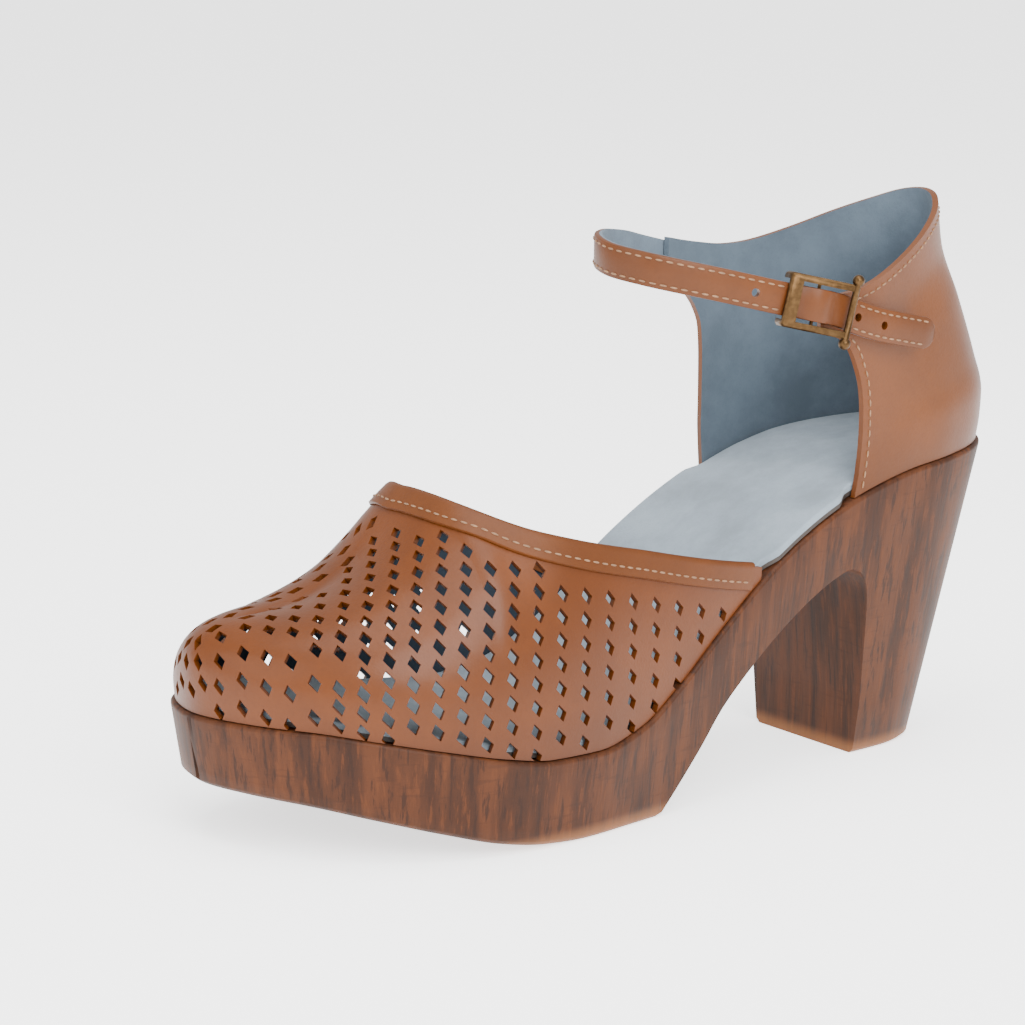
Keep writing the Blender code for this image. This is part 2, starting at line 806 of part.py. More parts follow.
def diamond_cutters(places, name, collection):
    """One object of four-sided pins, one through the leather at each place."""
    bm = bmesh.new()
    depth = 3 * LEATHER
    for centre, along, normal in places:
        across = normal.cross(along)
        corners = []
        for level in (-1, 1):
            middle = centre + normal * (level * depth)
            corners.append([
                bm.verts.new(middle + along * (HOLE_SHORT / 2)),
                bm.verts.new(middle + across * (HOLE_LONG / 2)),
                bm.verts.new(middle - along * (HOLE_SHORT / 2)),
                bm.verts.new(middle - across * (HOLE_LONG / 2)),
            ])
        low, high = corners
        bm.faces.new(low[::-1])
        bm.faces.new(high)
        for i in range(4):
            j = (i + 1) % 4
            bm.faces.new((low[i], low[j], high[j], high[i]))
    bmesh.ops.recalc_face_normals(bm, faces=bm.faces)
    obj = new_mesh_object(name, bm, collection)
    mark_cutter(obj)
    return obj


def make_vamp(parts, cutters):
    """The perforated front of the upper, one hollow wall of leather."""
    bm = vamp_face(VAMP_COLUMNS, VAMP_ROWS)
    vamp = new_mesh_object("vamp", bm, parts)
    wall = vamp.modifiers.new("wall", "SOLIDIFY")
    wall.thickness = LEATHER
    wall.offset = -1.0
    wall.use_even_offset = False
    fine = vamp_face(2 * VAMP_COLUMNS, 2 * VAMP_ROWS)
    tree = BVHTree.FromBMesh(fine)
    fine.free()
    top_line = top_edge_line(2 * VAMP_COLUMNS)
    places = [
        place for place in perforation_places(tree, CUT_EVERY)
        if clear_of_edges(np.array(place[0]), top_line)
    ]
    pins = diamond_cutters(places, "perforation_cutters", cutters)
    boolean(vamp, pins, "DIFFERENCE")
    paint(vamp, "tan_calf", (0.50, 0.17, 0.055), 0.30)
    return vamp


def even_line(points, spacing):
    """Points at even steps along a row of points."""
    lengths = arc_lengths(points)
    count = max(int(round(lengths[-1] / spacing)), 2)
    places = np.linspace(0.0, lengths[-1], count + 1)
    return np.array([[np.interp(p, lengths, points[:, k]) for k in range(3)] for p in places])


def make_vamp_binding(parts):
    """The folded strip on the vamp's top edge: a leaf outside and the turn over the edge."""
    face = vamp_face(VAMP_COLUMNS, VAMP_ROWS)
    tree = BVHTree.FromBMesh(face)
    face.free()
    line = even_line(top_edge_line(VAMP_COLUMNS), STRIP_STEP)
    skip = int(STRIP_END_SKIP / STRIP_STEP)
    rings = []
    for i in range(skip, len(line) - skip):
        run = Vector(line[i + 1] - line[i - 1]).normalized()
        edge, normal = tree.find_nearest(Vector(line[i]))[:2]
        away = normal.cross(run).normalized()
        if away.dot(tree.find_nearest(edge - Vector((0, 0, STRIP_WIDTH)))[0] - edge) < 0:
            away.negate()
        width = STRIP_WIDTH
        for _ in range(8):
            low, low_normal = tree.find_nearest(edge + away * width)[:2]
            if low.z > wood_top(low.x) + FIT_GAP + 0.0008:
                break
            width *= 0.8
        middle, middle_normal = tree.find_nearest((edge + low) / 2)[:2]
        crest = STRIP_INNER_GAP + STRIP_THICKNESS
        high = STRIP_GAP + STRIP_THICKNESS
        rings.append([
            low + low_normal * STRIP_GAP,
            low + low_normal * high,
            middle + middle_normal * high,
            edge + normal * high,
            edge + normal * STRIP_GAP - away * crest,
            edge - normal * LEATHER - away * crest,
            edge - normal * LEATHER - away * STRIP_INNER_GAP,
            edge + normal * STRIP_GAP - away * STRIP_INNER_GAP,
            middle + middle_normal * STRIP_GAP,
        ])
    strip = loft(rings, "vamp_binding", parts)
    paint(strip, "tan_strip", (0.52, 0.20, 0.075), 0.34)
    return strip


def rim_curve(side):
    """Dense points of the counter's top edge on one side, back to front."""
    points = []
    for row in COUNTER_RIM:
        column = 1 if side == 1 else 2
        height = row[3] if side == 1 else row[4]
        points.append((row[0] * SOLE_LENGTH, row[column] * BALL_WIDTH, height * COUNTER_PEAK))
    other = COUNTER_RIM[1]
    mirror_y = (other[2] if side == 1 else other[1]) * BALL_WIDTH
    lead = (other[0] * SOLE_LENGTH, mirror_y, other[3 if side == -1 else 4] * COUNTER_PEAK)
    dense = smooth_line([lead] + points, steps=12)
    return dense[12:]


RIMS = {1: rim_curve(1), -1: rim_curve(-1)}
BASE_SHARE = {1: share_at_x(1, 0.400 * SOLE_LENGTH), -1: share_at_x(-1, 0.400 * SOLE_LENGTH)}


def counter_point(side, reach, rise):
    """Point of the counter's outer face. reach is 0 at the back seam, 1 well past the ears."""
    edge = edge_at(side, reach * BASE_SHARE[side], UPPER_INSET)
    if reach <= 0.0:
        edge = np.array([UPPER_INSET, 0.0])
    rim = RIMS[side]
    lengths = arc_lengths(rim)
    top = np.array([np.interp(reach * lengths[-1], lengths, rim[:, k]) for k in range(3)])
    lean = read(COUNTER_LEAN, 1, rise)
    floor = wood_top(edge[0]) + FIT_GAP
    side_lean = lean if lean > 0 else lean * COUNTER_BACK_LEAN / max(
        np.linalg.norm(top[:2] - edge), 0.001)
    x = edge[0] + (top[0] - edge[0]) * side_lean
    y = edge[1] + (top[1] - edge[1]) * side_lean
    return np.array([x, y, floor + (top[2] - floor) * rise])


def counter_front_x(side, rise):
    """Where the counter's front edge lies at a share of its height."""
    end = EAR_END_OUTER if side == 1 else EAR_END_INNER
    if rise >= EAR_START_SHARE:
        return end
    last = COUNTER_FRONT[-1]
    column = 1 if side == 1 else 2
    if rise > last[0]:
        t = (rise - last[0]) / (EAR_START_SHARE - last[0])
        return last[column] * SOLE_LENGTH * (1 - t) + end * t
    return read(COUNTER_FRONT, column, rise) * SOLE_LENGTH


def counter_reach(side, rise):
    """Reach at which the counter's row meets its front edge."""
    target = counter_front_x(side, rise)
    low, high = 0.2, 1.0
    for _ in range(24):
        middle = (low + high) / 2
        if counter_point(side, middle, rise)[0] < target:
            low = middle
        else:
            high = middle
    return low


def counter_rises(rows):
    """Steps up the counter's wall, with one at the lower edge of the ears."""
    lower = int(round(rows * 0.72))
    steps = [EAR_START_SHARE * k / lower for k in range(lower)]
    upper = rows - lower
    return steps + [EAR_START_SHARE + (1 - EAR_START_SHARE) * k / upper for k in range(upper + 1)]


def make_heel_counter(parts):
    """The closed back of the upper with its two ears, one wall of leather."""
    bm = bmesh.new()
    grid = []
    for rise in counter_rises(COUNTER_ROWS):
        outer = counter_reach(1, rise)
        inner = counter_reach(-1, rise)
        half = COUNTER_COLUMNS // 2
        row = [counter_point(1, outer * (1 - i / half), rise) for i in range(half)]
        row += [counter_point(-1, inner * i / half, rise) for i in range(half + 1)]
        grid.append([bm.verts.new(point) for point in row])
    for low, high in zip(grid, grid[1:]):
        for i in range(len(low) - 1):
            bm.faces.new((low[i], low[i + 1], high[i + 1], high[i]))
    bm.normal_update()
    back = min(bm.faces, key=lambda f: f.calc_center_median().x)
    if back.normal.x > 0:
        bmesh.ops.reverse_faces(bm, faces=bm.faces)
    counter = new_mesh_object("heel_counter", bm, parts)
    wall = counter.modifiers.new("wall", "SOLIDIFY")
    wall.thickness = LEATHER
    wall.offset = -1.0
    wall.use_even_offset = False
    paint(counter, "counter_calf", (0.42, 0.15, 0.055), 0.36)
    return counter


class StrapLine:
    """The strap's middle line, with its direction, width direction and outward normal."""

    def __init__(self):
        sized = [(x * SOLE_LENGTH, y * BALL_WIDTH, z * COUNTER_PEAK) for x, y, z in STRAP_LINE]
        self.points = smooth_line(sized, steps=10)
        self.lengths = arc_lengths(self.points)
        self.total = self.lengths[-1]
        start = int(len(self.points) * BUCKLE_SEARCH_FROM)
        xs = self.points[start:, 0]
        self.buckle = float(np.interp(-BUCKLE_PLACE * SOLE_LENGTH, -xs, self.lengths[start:]))

    def point(self, place):
        if place > self.total:
            return self.points[-1] + self.direction(self.total - 0.001) * (place - self.total)
        return np.array([np.interp(place, self.lengths, self.points[:, k]) for k in range(3)])

    def direction(self, place):
        ahead = min(place + 0.002, self.total)
        behind = max(place - 0.002, 0.0)
        run = self.point(ahead) - self.point(behind)
        return run / np.linalg.norm(run)

    def frame(self, place):
        """Direction along the strap, across its width and away from the foot."""
        run = self.direction(place)
        up = np.array([0.0, 0.0, 1.0]) - run * run[2]
        up = up / np.linalg.norm(up)
        away = np.cross(run, up)
        return run, up, away

    def place(self, along, across, away):
        """Point at a length along the strap, across its width and off its middle."""
        _, up, out = self.frame(along)
        return self.point(along) + up * across + out * away


def strap_rise(line, along):
    """How far the strap stands off its line to climb over the buckle's centre bar."""
    over = strap_rise_top()
    half = BUCKLE_LENGTH / 2 - FRONT_BAR_LENGTH
    t = (along - line.buckle) / half
    if abs(t) >= 1:
        return 0.0
    return over * 0.5 * (1 + math.cos(math.pi * t))


def strap_half_width(line, along):
    """Half the strap's width, drawn in to a round tip at its loose end."""
    left = line.total - along
    if left >= STRAP_TIP_LENGTH:
        return STRAP_WIDTH / 2
    t = 1 - max(left, 0.0) / STRAP_TIP_LENGTH
    return max(STRAP_WIDTH / 2 * math.sqrt(max(1 - t * t, 0.0)), STRAP_WIDTH * 0.12)


def make_ankle_strap(line, parts, cutters):
    """The strap as one ribbon, with punched holes on both sides of the buckle."""
    places = list(np.arange(0.0, line.total - STRAP_TIP_LENGTH, STRAP_STEP))
    near = [line.buckle + BUCKLE_LENGTH * k / 12 for k in range(-8, 9)]
    places = [p for p in places if abs(p - line.buckle) > BUCKLE_LENGTH * 0.72] + near
    places += [line.total - STRAP_TIP_LENGTH * k for k in (1.0, 0.7, 0.4, 0.15, 0.0)]
    rings = []
    half = STRAP_THICKNESS / 2
    for along in sorted(places):
        width = strap_half_width(line, along)
        rise = strap_rise(line, along)
        rings.append([
            line.place(along, width, rise - half),
            line.place(along, width, rise + half),
            line.place(along, -width, rise + half),
            line.place(along, -width, rise - half),
        ])
    strap = loft(rings, "ankle_strap", parts)
    bm = bmesh.new()
    for k in range(-2, STRAP_HOLE_COUNT - 2):
        if k == 0:
            continue
        along = line.buckle + STRAP_HOLE_PITCH * k + (0.002 if k < 0 else 0.003)
        run, up, out = (Vector(v) for v in line.frame(along))
        centre = Vector(line.place(along, 0.0, 0.0))
        made = bmesh.ops.create_cone(
            bm, cap_ends=True, segments=8, radius1=STRAP_HOLE, radius2=STRAP_HOLE,
            depth=4 * STRAP_THICKNESS)
        turn = out.to_track_quat("Z", "Y").to_matrix().to_4x4()
        turn.translation = centre
        bmesh.ops.transform(bm, matrix=turn, verts=made["verts"])
    punches = new_mesh_object("strap_punches", bm, cutters)
    mark_cutter(punches)
    boolean(strap, punches, "DIFFERENCE")
    paint(strap, "strap_calf", (0.46, 0.17, 0.06), 0.34)
    return strap


def box_along(line, along, across, away, name, collection, bevel):
    """Block that follows the strap's frame at the buckle. Each size is a low and high, and
    its outer edges are bevelled."""
    base = line.buckle
    origin = line.point(base)
    run, up, out = line.frame(base)
    bm = bmesh.new()
    bmesh.ops.create_cube(bm, size=1.0)
    for vert in bm.verts:
        a = along[0] + (vert.co.x + 0.5) * (along[1] - along[0])
        w = across[0] + (vert.co.y + 0.5) * (across[1] - across[0])
        n = away[0] + (vert.co.z + 0.5) * (away[1] - away[0])
        vert.co = Vector(origin + run * a + up * w + out * n)
    bmesh.ops.recalc_face_normals(bm, faces=bm.faces)
    bm.normal_update()
    out = Vector(out)
    top = max(bm.faces, key=lambda f: (f.calc_center_median() - Vector(origin)).dot(out))
    edges = [edge for edge in bm.edges if edge in set(top.edges)
             or abs((edge.verts[0].co - edge.verts[1].co).normalized().dot(out)) > 0.9]
    bmesh.ops.bevel(bm, geom=edges, offset=bevel, offset_type="OFFSET",
                    segments=1, profile=0.5, affect="EDGES", material=-1)
    bmesh.ops.recalc_face_normals(bm, faces=bm.faces)
    return new_mesh_object(name, bm, collection)


def rod_across(line, along, away, radius, half_width, name, collection, segments=10):
    """Round rod across the strap's width at the buckle."""
    origin = line.point(line.buckle)
    run, up, out = (Vector(v) for v in line.frame(line.buckle))
    bm = bmesh.new()
    made = bmesh.ops.create_cone(
        bm, cap_ends=True, segments=segments, radius1=radius, radius2=radius,
        depth=2 * half_width)
    turn = up.to_track_quat("Z", "Y").to_matrix().to_4x4()
    turn.translation = Vector(origin) + run * along + out * away
    bmesh.ops.transform(bm, matrix=turn, verts=made["verts"])
    return new_mesh_object(name, bm, collection)


def ball_at(line, along, across, away, radius, name, collection):
    """Ball at the buckle."""
    origin = Vector(line.point(line.buckle))
    run, up, out = (Vector(v) for v in line.frame(line.buckle))
    bm = bmesh.new()
    bmesh.ops.create_uvsphere(bm, u_segments=12, v_segments=8, radius=radius)
    turn = up.to_track_quat("Z", "Y").to_matrix().to_4x4()
    turn.translation = origin + run * along + up * across + out * away
    bmesh.ops.transform(bm, matrix=turn, verts=bm.verts)
    return new_mesh_object(name, bm, collection)


def buckle_levels():
    """Heights of the buckle's bars off the strap's middle line."""
    bar_low = STRAP_THICKNESS / 2 + FIT_GAP
    bar_high = bar_low + BAR_THICKNESS
    rail_low = bar_high - RAIL_DEPTH
    centre = strap_rise_top() - STRAP_THICKNESS / 2 - FIT_GAP - TAB_LOOP_WALL
    centre -= FIT_GAP + CENTRE_BAR_RADIUS
    return bar_low, bar_high, rail_low, centre


def strap_rise_top():
    return TAB_LOOP_WALL + FIT_GAP + 2 * CENTRE_BAR_RADIUS


def buckle_window(line, name, collection):
    """Cutter that opens the frame: a channel under the front bar and a window behind it."""
    bar_low, bar_high, rail_low, _ = buckle_levels()
    half = BUCKLE_LENGTH / 2
    spare = BUCKLE_LENGTH / 4
    bar_edge = -half + FRONT_BAR_LENGTH
    profile = [
        (-half - spare, rail_low - spare),
        (half + spare, rail_low - spare),
        (half + spare, bar_high + spare),
        (bar_edge, bar_high + spare),
        (bar_edge - BAR_THICKNESS / 3, bar_low),
        (-half - spare, bar_low),
    ]
    inner = BUCKLE_WIDTH / 2 - RAIL_WIDTH
    origin = line.point(line.buckle)
    run, up, out = line.frame(line.buckle)
    rings = [
        [origin + run * a + out * n + up * across for a, n in profile]
        for across in (-inner, inner)
    ]
    return loft(rings, name, collection)


def make_buckle(line, parts, cutters):
    """The brass frame: two side rails, a wide front bar, a hidden centre bar and a rear pin
    with knobs. Along the strap, plus is towards the loose tip."""
    bar_low, bar_high, rail_low, centre = buckle_levels()
    half_length = BUCKLE_LENGTH / 2
    half_width = BUCKLE_WIDTH / 2
    frame = box_along(
        line, (-half_length, half_length - PIN_RADIUS), (-half_width, half_width),
        (rail_low, bar_high), "buckle_frame", parts, FRAME_BEVEL)
    cutter = buckle_window(line, "buckle_window", cutters)
    mark_cutter(cutter)
    boolean(frame, cutter, "DIFFERENCE")
    inner = half_width - RAIL_WIDTH / 2
    pin_level = bar_low + PIN_RADIUS
    knob_place = half_width + 0.7 * KNOB_RADIUS
    pieces = [
        rod_across(line, 0.0, centre, CENTRE_BAR_RADIUS, inner, "centre_bar", cutters, 8),
        rod_across(line, half_length - PIN_RADIUS, pin_level, PIN_RADIUS, knob_place,
                   "rear_pin", cutters),
    ]
    for sign in (1, -1):
        pieces.append(ball_at(line, half_length - PIN_RADIUS, sign * knob_place, pin_level,
                              KNOB_RADIUS, "knob_%d" % (sign + 1), cutters))
    for piece in pieces:
        mark_cutter(piece)
        boolean(frame, piece, "UNION")
    paint(frame, "old_brass", (0.42, 0.31, 0.17), 0.38, 1.0)
    return frame


def make_buckle_tab(line, parts, cutters):
    """The leather tab: a leaf on the outer ear with a loop round the centre bar."""
    centre = buckle_levels()[3]
    hole = CENTRE_BAR_RADIUS + FIT_GAP
    loop_radius = hole + TAB_LOOP_WALL
    high = -STRAP_THICKNESS / 2 - FIT_GAP
    low = high - TAB_LEAF
    half = TAB_WIDTH / 2
    rings = []
    count = 8
    for k in range(count + 1):
        along = line.buckle + TAB_LENGTH * k / count
        rings.append([
            line.place(along, half, low),
            line.place(along, half, high),
            line.place(along, -half, high),
            line.place(along, -half, low),
        ])
    tab = loft(rings, "buckle_tab", parts)
    loop = rod_across(line, 0.0, centre, loop_radius, half, "tab_loop", cutters, 16)
    bore = rod_across(line, 0.0, centre, hole, 2 * half, "tab_bore", cutters, 12)
    for piece, operation in ((loop, "UNION"), (bore, "DIFFERENCE")):
        mark_cutter(piece)
        boolean(tab, piece, operation)
    paint(tab, "tab_calf", (0.44, 0.16, 0.06), 0.38)
    return tab


def centre_on_origin(parts):
    """Move every solid so that the middle of the object's box stands on the origin."""
    bpy.context.view_layer.update()
    graph = bpy.context.evaluated_depsgraph_get()
    corners = []
    for obj in parts.objects:
        shape = obj.evaluated_get(graph)
        mesh = shape.to_mesh()
        corners += [tuple(shape.matrix_world @ vert.co) for vert in mesh.vertices]
        shape.to_mesh_clear()
    corners = np.array(corners)
    low, high = corners.min(axis=0), corners.max(axis=0)
    middle = (low + high) / 2
    return Vector((-middle[0], -middle[1], -low[2]))


def main():
    for obj in list(bpy.data.objects):
        bpy.data.objects.remove(obj, do_unlink=True)
    parts = bpy.data.collections.new(COLLECTION_NAME)
    cutters = bpy.data.collections.new("cutters")
    for collection in (parts, cutters):
        bpy.context.scene.collection.children.link(collection)
    line = StrapLine()
    make_wood_sole(parts, cutters)
    make_insole(parts)
    make_vamp(parts, cutters)
    make_vamp_binding(parts)
    make_heel_counter(parts)
    make_ankle_strap(line, parts, cutters)
    make_buckle(line, parts, cutters)
    make_buckle_tab(line, parts, cutters)
    shift = centre_on_origin(parts)
    for collection in (parts, cutters):
        for obj in collection.objects:
            obj.location = obj.location + shift
    for obj in parts.objects:
        smooth_shading(obj)
    bpy.context.view_layer.update()


if __name__ == "__main__":
    main()
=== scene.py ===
"""The looks of a heeled clog for the left foot: grained wood, perforated calf with a suede
lining, a folded and sewn top edge, a lined counter and strap, and an aged brass buckle."""

import math

import bmesh
import bpy
import numpy as np
from mathutils import Matrix, Vector
from mathutils.bvhtree import BVHTree


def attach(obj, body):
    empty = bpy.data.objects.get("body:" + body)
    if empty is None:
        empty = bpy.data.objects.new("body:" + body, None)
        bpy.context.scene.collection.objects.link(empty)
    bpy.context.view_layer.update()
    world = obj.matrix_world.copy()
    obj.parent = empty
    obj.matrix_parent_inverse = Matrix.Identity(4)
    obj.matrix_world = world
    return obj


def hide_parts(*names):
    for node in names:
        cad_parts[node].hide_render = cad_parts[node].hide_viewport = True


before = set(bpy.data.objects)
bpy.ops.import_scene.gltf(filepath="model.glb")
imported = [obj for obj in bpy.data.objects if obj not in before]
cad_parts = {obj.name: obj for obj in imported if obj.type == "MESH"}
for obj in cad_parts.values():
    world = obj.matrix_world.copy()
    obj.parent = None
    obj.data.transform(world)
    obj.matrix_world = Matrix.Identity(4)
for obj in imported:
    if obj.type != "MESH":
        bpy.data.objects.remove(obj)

bl_info = {
    "name": "Heeled clog",
    "version": (1, 0, 0),
    "blender": (4, 5, 0),
    "location": "View3D > Sidebar > Clog",
    "description": "Builds the looks of a heeled clog with an ankle strap",
    "category": "Object",
}

# Middle of the shoe's box in the frame in which it is modelled, from the back of its wood
BOX_MIDDLE = (0.12088, -0.00002, 0.0)

# Camera, with its target in the modelling frame
CAMERA_AZIMUTH = 143.37
CAMERA_ELEVATION = 11.49
CAMERA_ROLL = 0.79
CAMERA_DISTANCE = 0.77859
CAMERA_LENS = 106.46
CAMERA_TARGET = (0.1428, -0.01496, 0.07015)

# Lights. Columns: name, azimuth and elevation in degrees, distance, size, power in watts.
WORLD_STRENGTH = 1.2
FLOOR_GLOW = 1.6
LIGHTS = [
    ("key", 165.0, 34.0, 1.6, 1.1, 36.0),
    ("fill", 95.0, 24.0, 1.8, 1.3, 14.0),
    ("top", 140.0, 80.0, 1.5, 1.4, 24.0),
]

# Driving sizes of the wooden sole
SOLE_LENGTH = 0.242
BALL_WIDTH = 0.0864
SEAT_HEIGHT = 0.0822
TOP_EDGE_ROUND = 0.0012
WALL_LEAN = 0.0028
HEEL_BACK_LEAN = 0.0212
HEEL_TREAD_LENGTH = 0.0322
HEEL_TREAD_WIDTH = 0.0392
SEAT_LENGTH = 0.057
SEAT_WIDTH = 0.0605
SOLE_STATIONS = 220

# Insole
INSOLE_THICKNESS = 0.0030
INSOLE_ROUND = 0.0007
INSOLE_EDGE_INSET = 0.0009

# Leather walls and how they stand on the wood
LEATHER = 0.0016
UPPER_INSET = 0.0012
FIT_GAP = 0.0003
INSOLE_GAP = 0.0007
INSOLE_LIFT = 0.0005

# Vamp
VAMP_BACK_OUTER = 0.0990
VAMP_BACK_INNER = 0.1135
THROAT_X = 0.1858
RIDGE_HEIGHT = 0.0845
TOE_CENTRE_X = 0.2225
VAMP_BULGE = 0.0022
VAMP_COLUMNS = 96
VAMP_ROWS = 26

# Folded strip along the vamp's top edge
STRIP_WIDTH = 0.0060
STRIP_THICKNESS = 0.0007
STRIP_GAP = 0.0004
STRIP_INNER_GAP = 0.0005
STRIP_STEP = 0.001
STRIP_END_SKIP = 0.004

# Perforations: diamonds where two families of lines cross on the vamp. Rows lie in planes
# that tilt more the higher they are, columns lie in upright planes at even steps. Across
# the centre line of the toe the two families change places.
HOLE_LONG = 0.0044
HOLE_SHORT = 0.0032
HOLE_SLANT = 0.32
FILL_OUTER_X = 0.185
FILL_INNER_X = 0.125
FILL_SPACING = 0.0050
STRAP_END_Z = 0.122
HOLE_MARGIN = 0.0012
HOLE_SPACING = 0.0043
CENTRE_Y = -0.0055
ROW_ORIGIN = (0.190, 0.035, 0.0663)
ROW_STEP = 0.0054
ROW_SLOPE_ALONG = 0.22
ROW_SLOPE_ALONG_STEP = -0.018
ROW_SLOPE_ACROSS = 0.31
ROW_SLOPE_ACROSS_STEP = 0.039
COLUMN_HEADING = (0.6, 0.8)
COLUMN_START = -0.1976
COLUMN_STEP = 0.0058
COLUMN_COUNT = 26
ROW_LOWEST = -11
ROW_HIGHEST = 22

# Heel counter
COUNTER_PEAK = 0.1492
COUNTER_BACK_LEAN = 0.0140
EAR_END_OUTER = 0.0795
EAR_END_INNER = 0.0860
COUNTER_COLUMNS = 120
COUNTER_ROWS = 44

# Ankle strap
STRAP_WIDTH = 0.0084
STRAP_THICKNESS = 0.0020
STRAP_TIP_LENGTH = 0.0040
STRAP_HOLE = 0.0011
STRAP_HOLE_PITCH = 0.0098
STRAP_HOLE_COUNT = 5
STRAP_STEP = 0.001

# Buckle
BUCKLE_LENGTH = 0.0200
BUCKLE_WIDTH = 0.0140
RAIL_WIDTH = 0.0018
RAIL_DEPTH = 0.0041
BAR_THICKNESS = 0.0013
FRONT_BAR_LENGTH = 0.0038
FRAME_BEVEL = 0.0007
CENTRE_BAR_RADIUS = 0.0005
PIN_RADIUS = 0.0009
KNOB_RADIUS = 0.0016
TAB_WIDTH = 0.0076
TAB_LEAF = 0.0012
TAB_LOOP_WALL = 0.0008
TAB_LENGTH = 0.0170

# Sole seen from above. Columns: share of SOLE_LENGTH, outer and inner edge in shares of
# BALL_WIDTH. The two tips close it.
HEEL_TIP = (0.0, 0.0)
TOE_TIP = (1.0, -0.120)
OUTLINE = [
    (0.017, 0.150, -0.150),
    (0.058, 0.257, -0.257),
    (0.116, 0.319, -0.319),
    (0.178, 0.343, -0.340),
    (0.236, 0.355, -0.342),
    (0.293, 0.362, -0.338),
    (0.352, 0.374, -0.337),
    (0.412, 0.391, -0.338),
    (0.471, 0.412, -0.339),
    (0.529, 0.435, -0.354),
    (0.588, 0.463, -0.381),
    (0.647, 0.490, -0.420),
    (0.707, 0.500, -0.465),
    (0.765, 0.492, -0.492),
    (0.823, 0.450, -0.500),
    (0.884, 0.368, -0.477),
    (0.943, 0.221, -0.409),
    (0.981, 0.055, -0.312),
]

# Sole seen from the side. Columns: share of SOLE_LENGTH, height of the top face and of the
# tread in shares of SEAT_HEIGHT.
PROFILE = [
    (0.000, 1.000, 0.000),
    (0.058, 0.989, 0.000),
    (0.116, 0.974, 0.000),
    (0.178, 0.954, 0.000),
    (0.236, 0.917, 0.000),
    (0.293, 0.861, 0.000),
    (0.352, 0.780, 0.000),
    (0.412, 0.673, 0.000),
    (0.471, 0.544, 0.000),
    (0.529, 0.410, 0.000),
    (0.587, 0.309, 0.000),
    (0.649, 0.269, 0.000),
    (0.707, 0.271, 0.009),
    (0.764, 0.296, 0.036),
    (0.822, 0.332, 0.081),
    (0.884, 0.369, 0.131),
    (0.942, 0.394, 0.170),
    (1.000, 0.398, 0.188),
]

# Arch between heel and forefoot, from the foot of the breast to the forefoot's back edge.
# Columns: share of SOLE_LENGTH, share of SEAT_HEIGHT.
ARCH = [
    (0.222, -0.080),
    (0.221, 0.185),
    (0.226, 0.353),
    (0.232, 0.530),
    (0.238, 0.596),
    (0.249, 0.637),
    (0.265, 0.652),
    (0.286, 0.637),
    (0.321, 0.592),
    (0.377, 0.496),
    (0.428, 0.387),
    (0.463, 0.299),
    (0.494, 0.189),
    (0.529, 0.073),
    (0.556, -0.010),
    (0.575, -0.080),
]

# Ridge of the last under the vamp. Columns: share of SOLE_LENGTH, height in shares of
# RIDGE_HEIGHT, place across in shares of BALL_WIDTH, roundness of the section on the outer
# and on the inner side.
RIDGE = [
    (0.405, 1.360, -0.030, 2.1, 2.0),
    (0.529, 1.280, -0.040, 2.1, 1.9),
    (0.636, 1.190, -0.050, 2.2, 1.8),
    (0.678, 1.150, -0.060, 2.2, 1.7),
    (0.711, 1.085, -0.055, 2.2, 1.6),
    (0.736, 1.035, -0.055, 2.2, 1.55),
    (0.756, 1.004, -0.056, 2.2, 1.5),
    (0.770, 0.962, -0.060, 2.2, 1.5),
    (0.788, 0.888, -0.065, 2.25, 1.5),
    (0.806, 0.818, -0.070, 2.3, 1.5),
    (0.835, 0.744, -0.076, 2.4, 1.55),
    (0.876, 0.682, -0.086, 2.6, 1.8),
    (0.924, 0.652, -0.098, 2.9, 2.4),
]

# Top edge of the vamp seen from the side. Columns: share of SOLE_LENGTH, height on the outer
# and on the inner side in shares of RIDGE_HEIGHT.
TOPLINE = [
    (0.405, 0.700, 0.480),
    (0.470, 0.733, 0.564),
    (0.529, 0.769, 0.650),
    (0.583, 0.806, 0.724),
    (0.636, 0.840, 0.790),
    (0.678, 0.872, 0.843),
    (0.711, 0.900, 0.888),
    (0.736, 0.932, 0.929),
    (0.756, 0.963, 0.963),
    (0.768, 0.987, 0.987),
]

# Top edge of the heel counter seen from above and from the side. Columns: share of
# SOLE_LENGTH, outer and inner edge in shares of BALL_WIDTH, outer and inner height in
# shares of COUNTER_PEAK.
COUNTER_RIM = [
    (0.0655, 0.000, -0.000, 1.000, 1.000),
    (0.073, 0.075, -0.075, 0.994, 0.995),
    (0.094, 0.148, -0.152, 0.976, 0.977),
    (0.127, 0.217, -0.226, 0.952, 0.953),
    (0.172, 0.281, -0.290, 0.920, 0.923),
    (0.227, 0.331, -0.320, 0.883, 0.901),
    (0.265, 0.353, -0.328, 0.863, 0.897),
    (0.298, 0.358, -0.322, 0.853, 0.903),
    (0.330, 0.347, -0.308, 0.851, 0.911),
    (0.360, 0.330, -0.290, 0.851, 0.920),
    (0.400, 0.300, -0.255, 0.851, 0.930),
]

# How the counter's wall leans from the wood to its top edge. Columns: share of its height,
# share of the lean.
COUNTER_LEAN = [
    (0.00, 0.00),
    (0.10, -0.07),
    (0.20, -0.09),
    (0.36, 0.11),
    (0.60, 0.49),
    (0.82, 0.89),
    (1.00, 1.00),
]

# Front edges of the counter, rising into its two ears. Columns: share of its height, outer
# and inner place in shares of SOLE_LENGTH. The ears' ends are sizes of their own.
COUNTER_FRONT = [
    (0.00, 0.270, 0.288),
    (0.12, 0.264, 0.290),
    (0.25, 0.261, 0.292),
    (0.40, 0.262, 0.293),
    (0.52, 0.266, 0.294),
    (0.64, 0.276, 0.297),
    (0.73, 0.287, 0.308),
    (0.79, 0.300, 0.322),
]
EAR_START_SHARE = 0.84

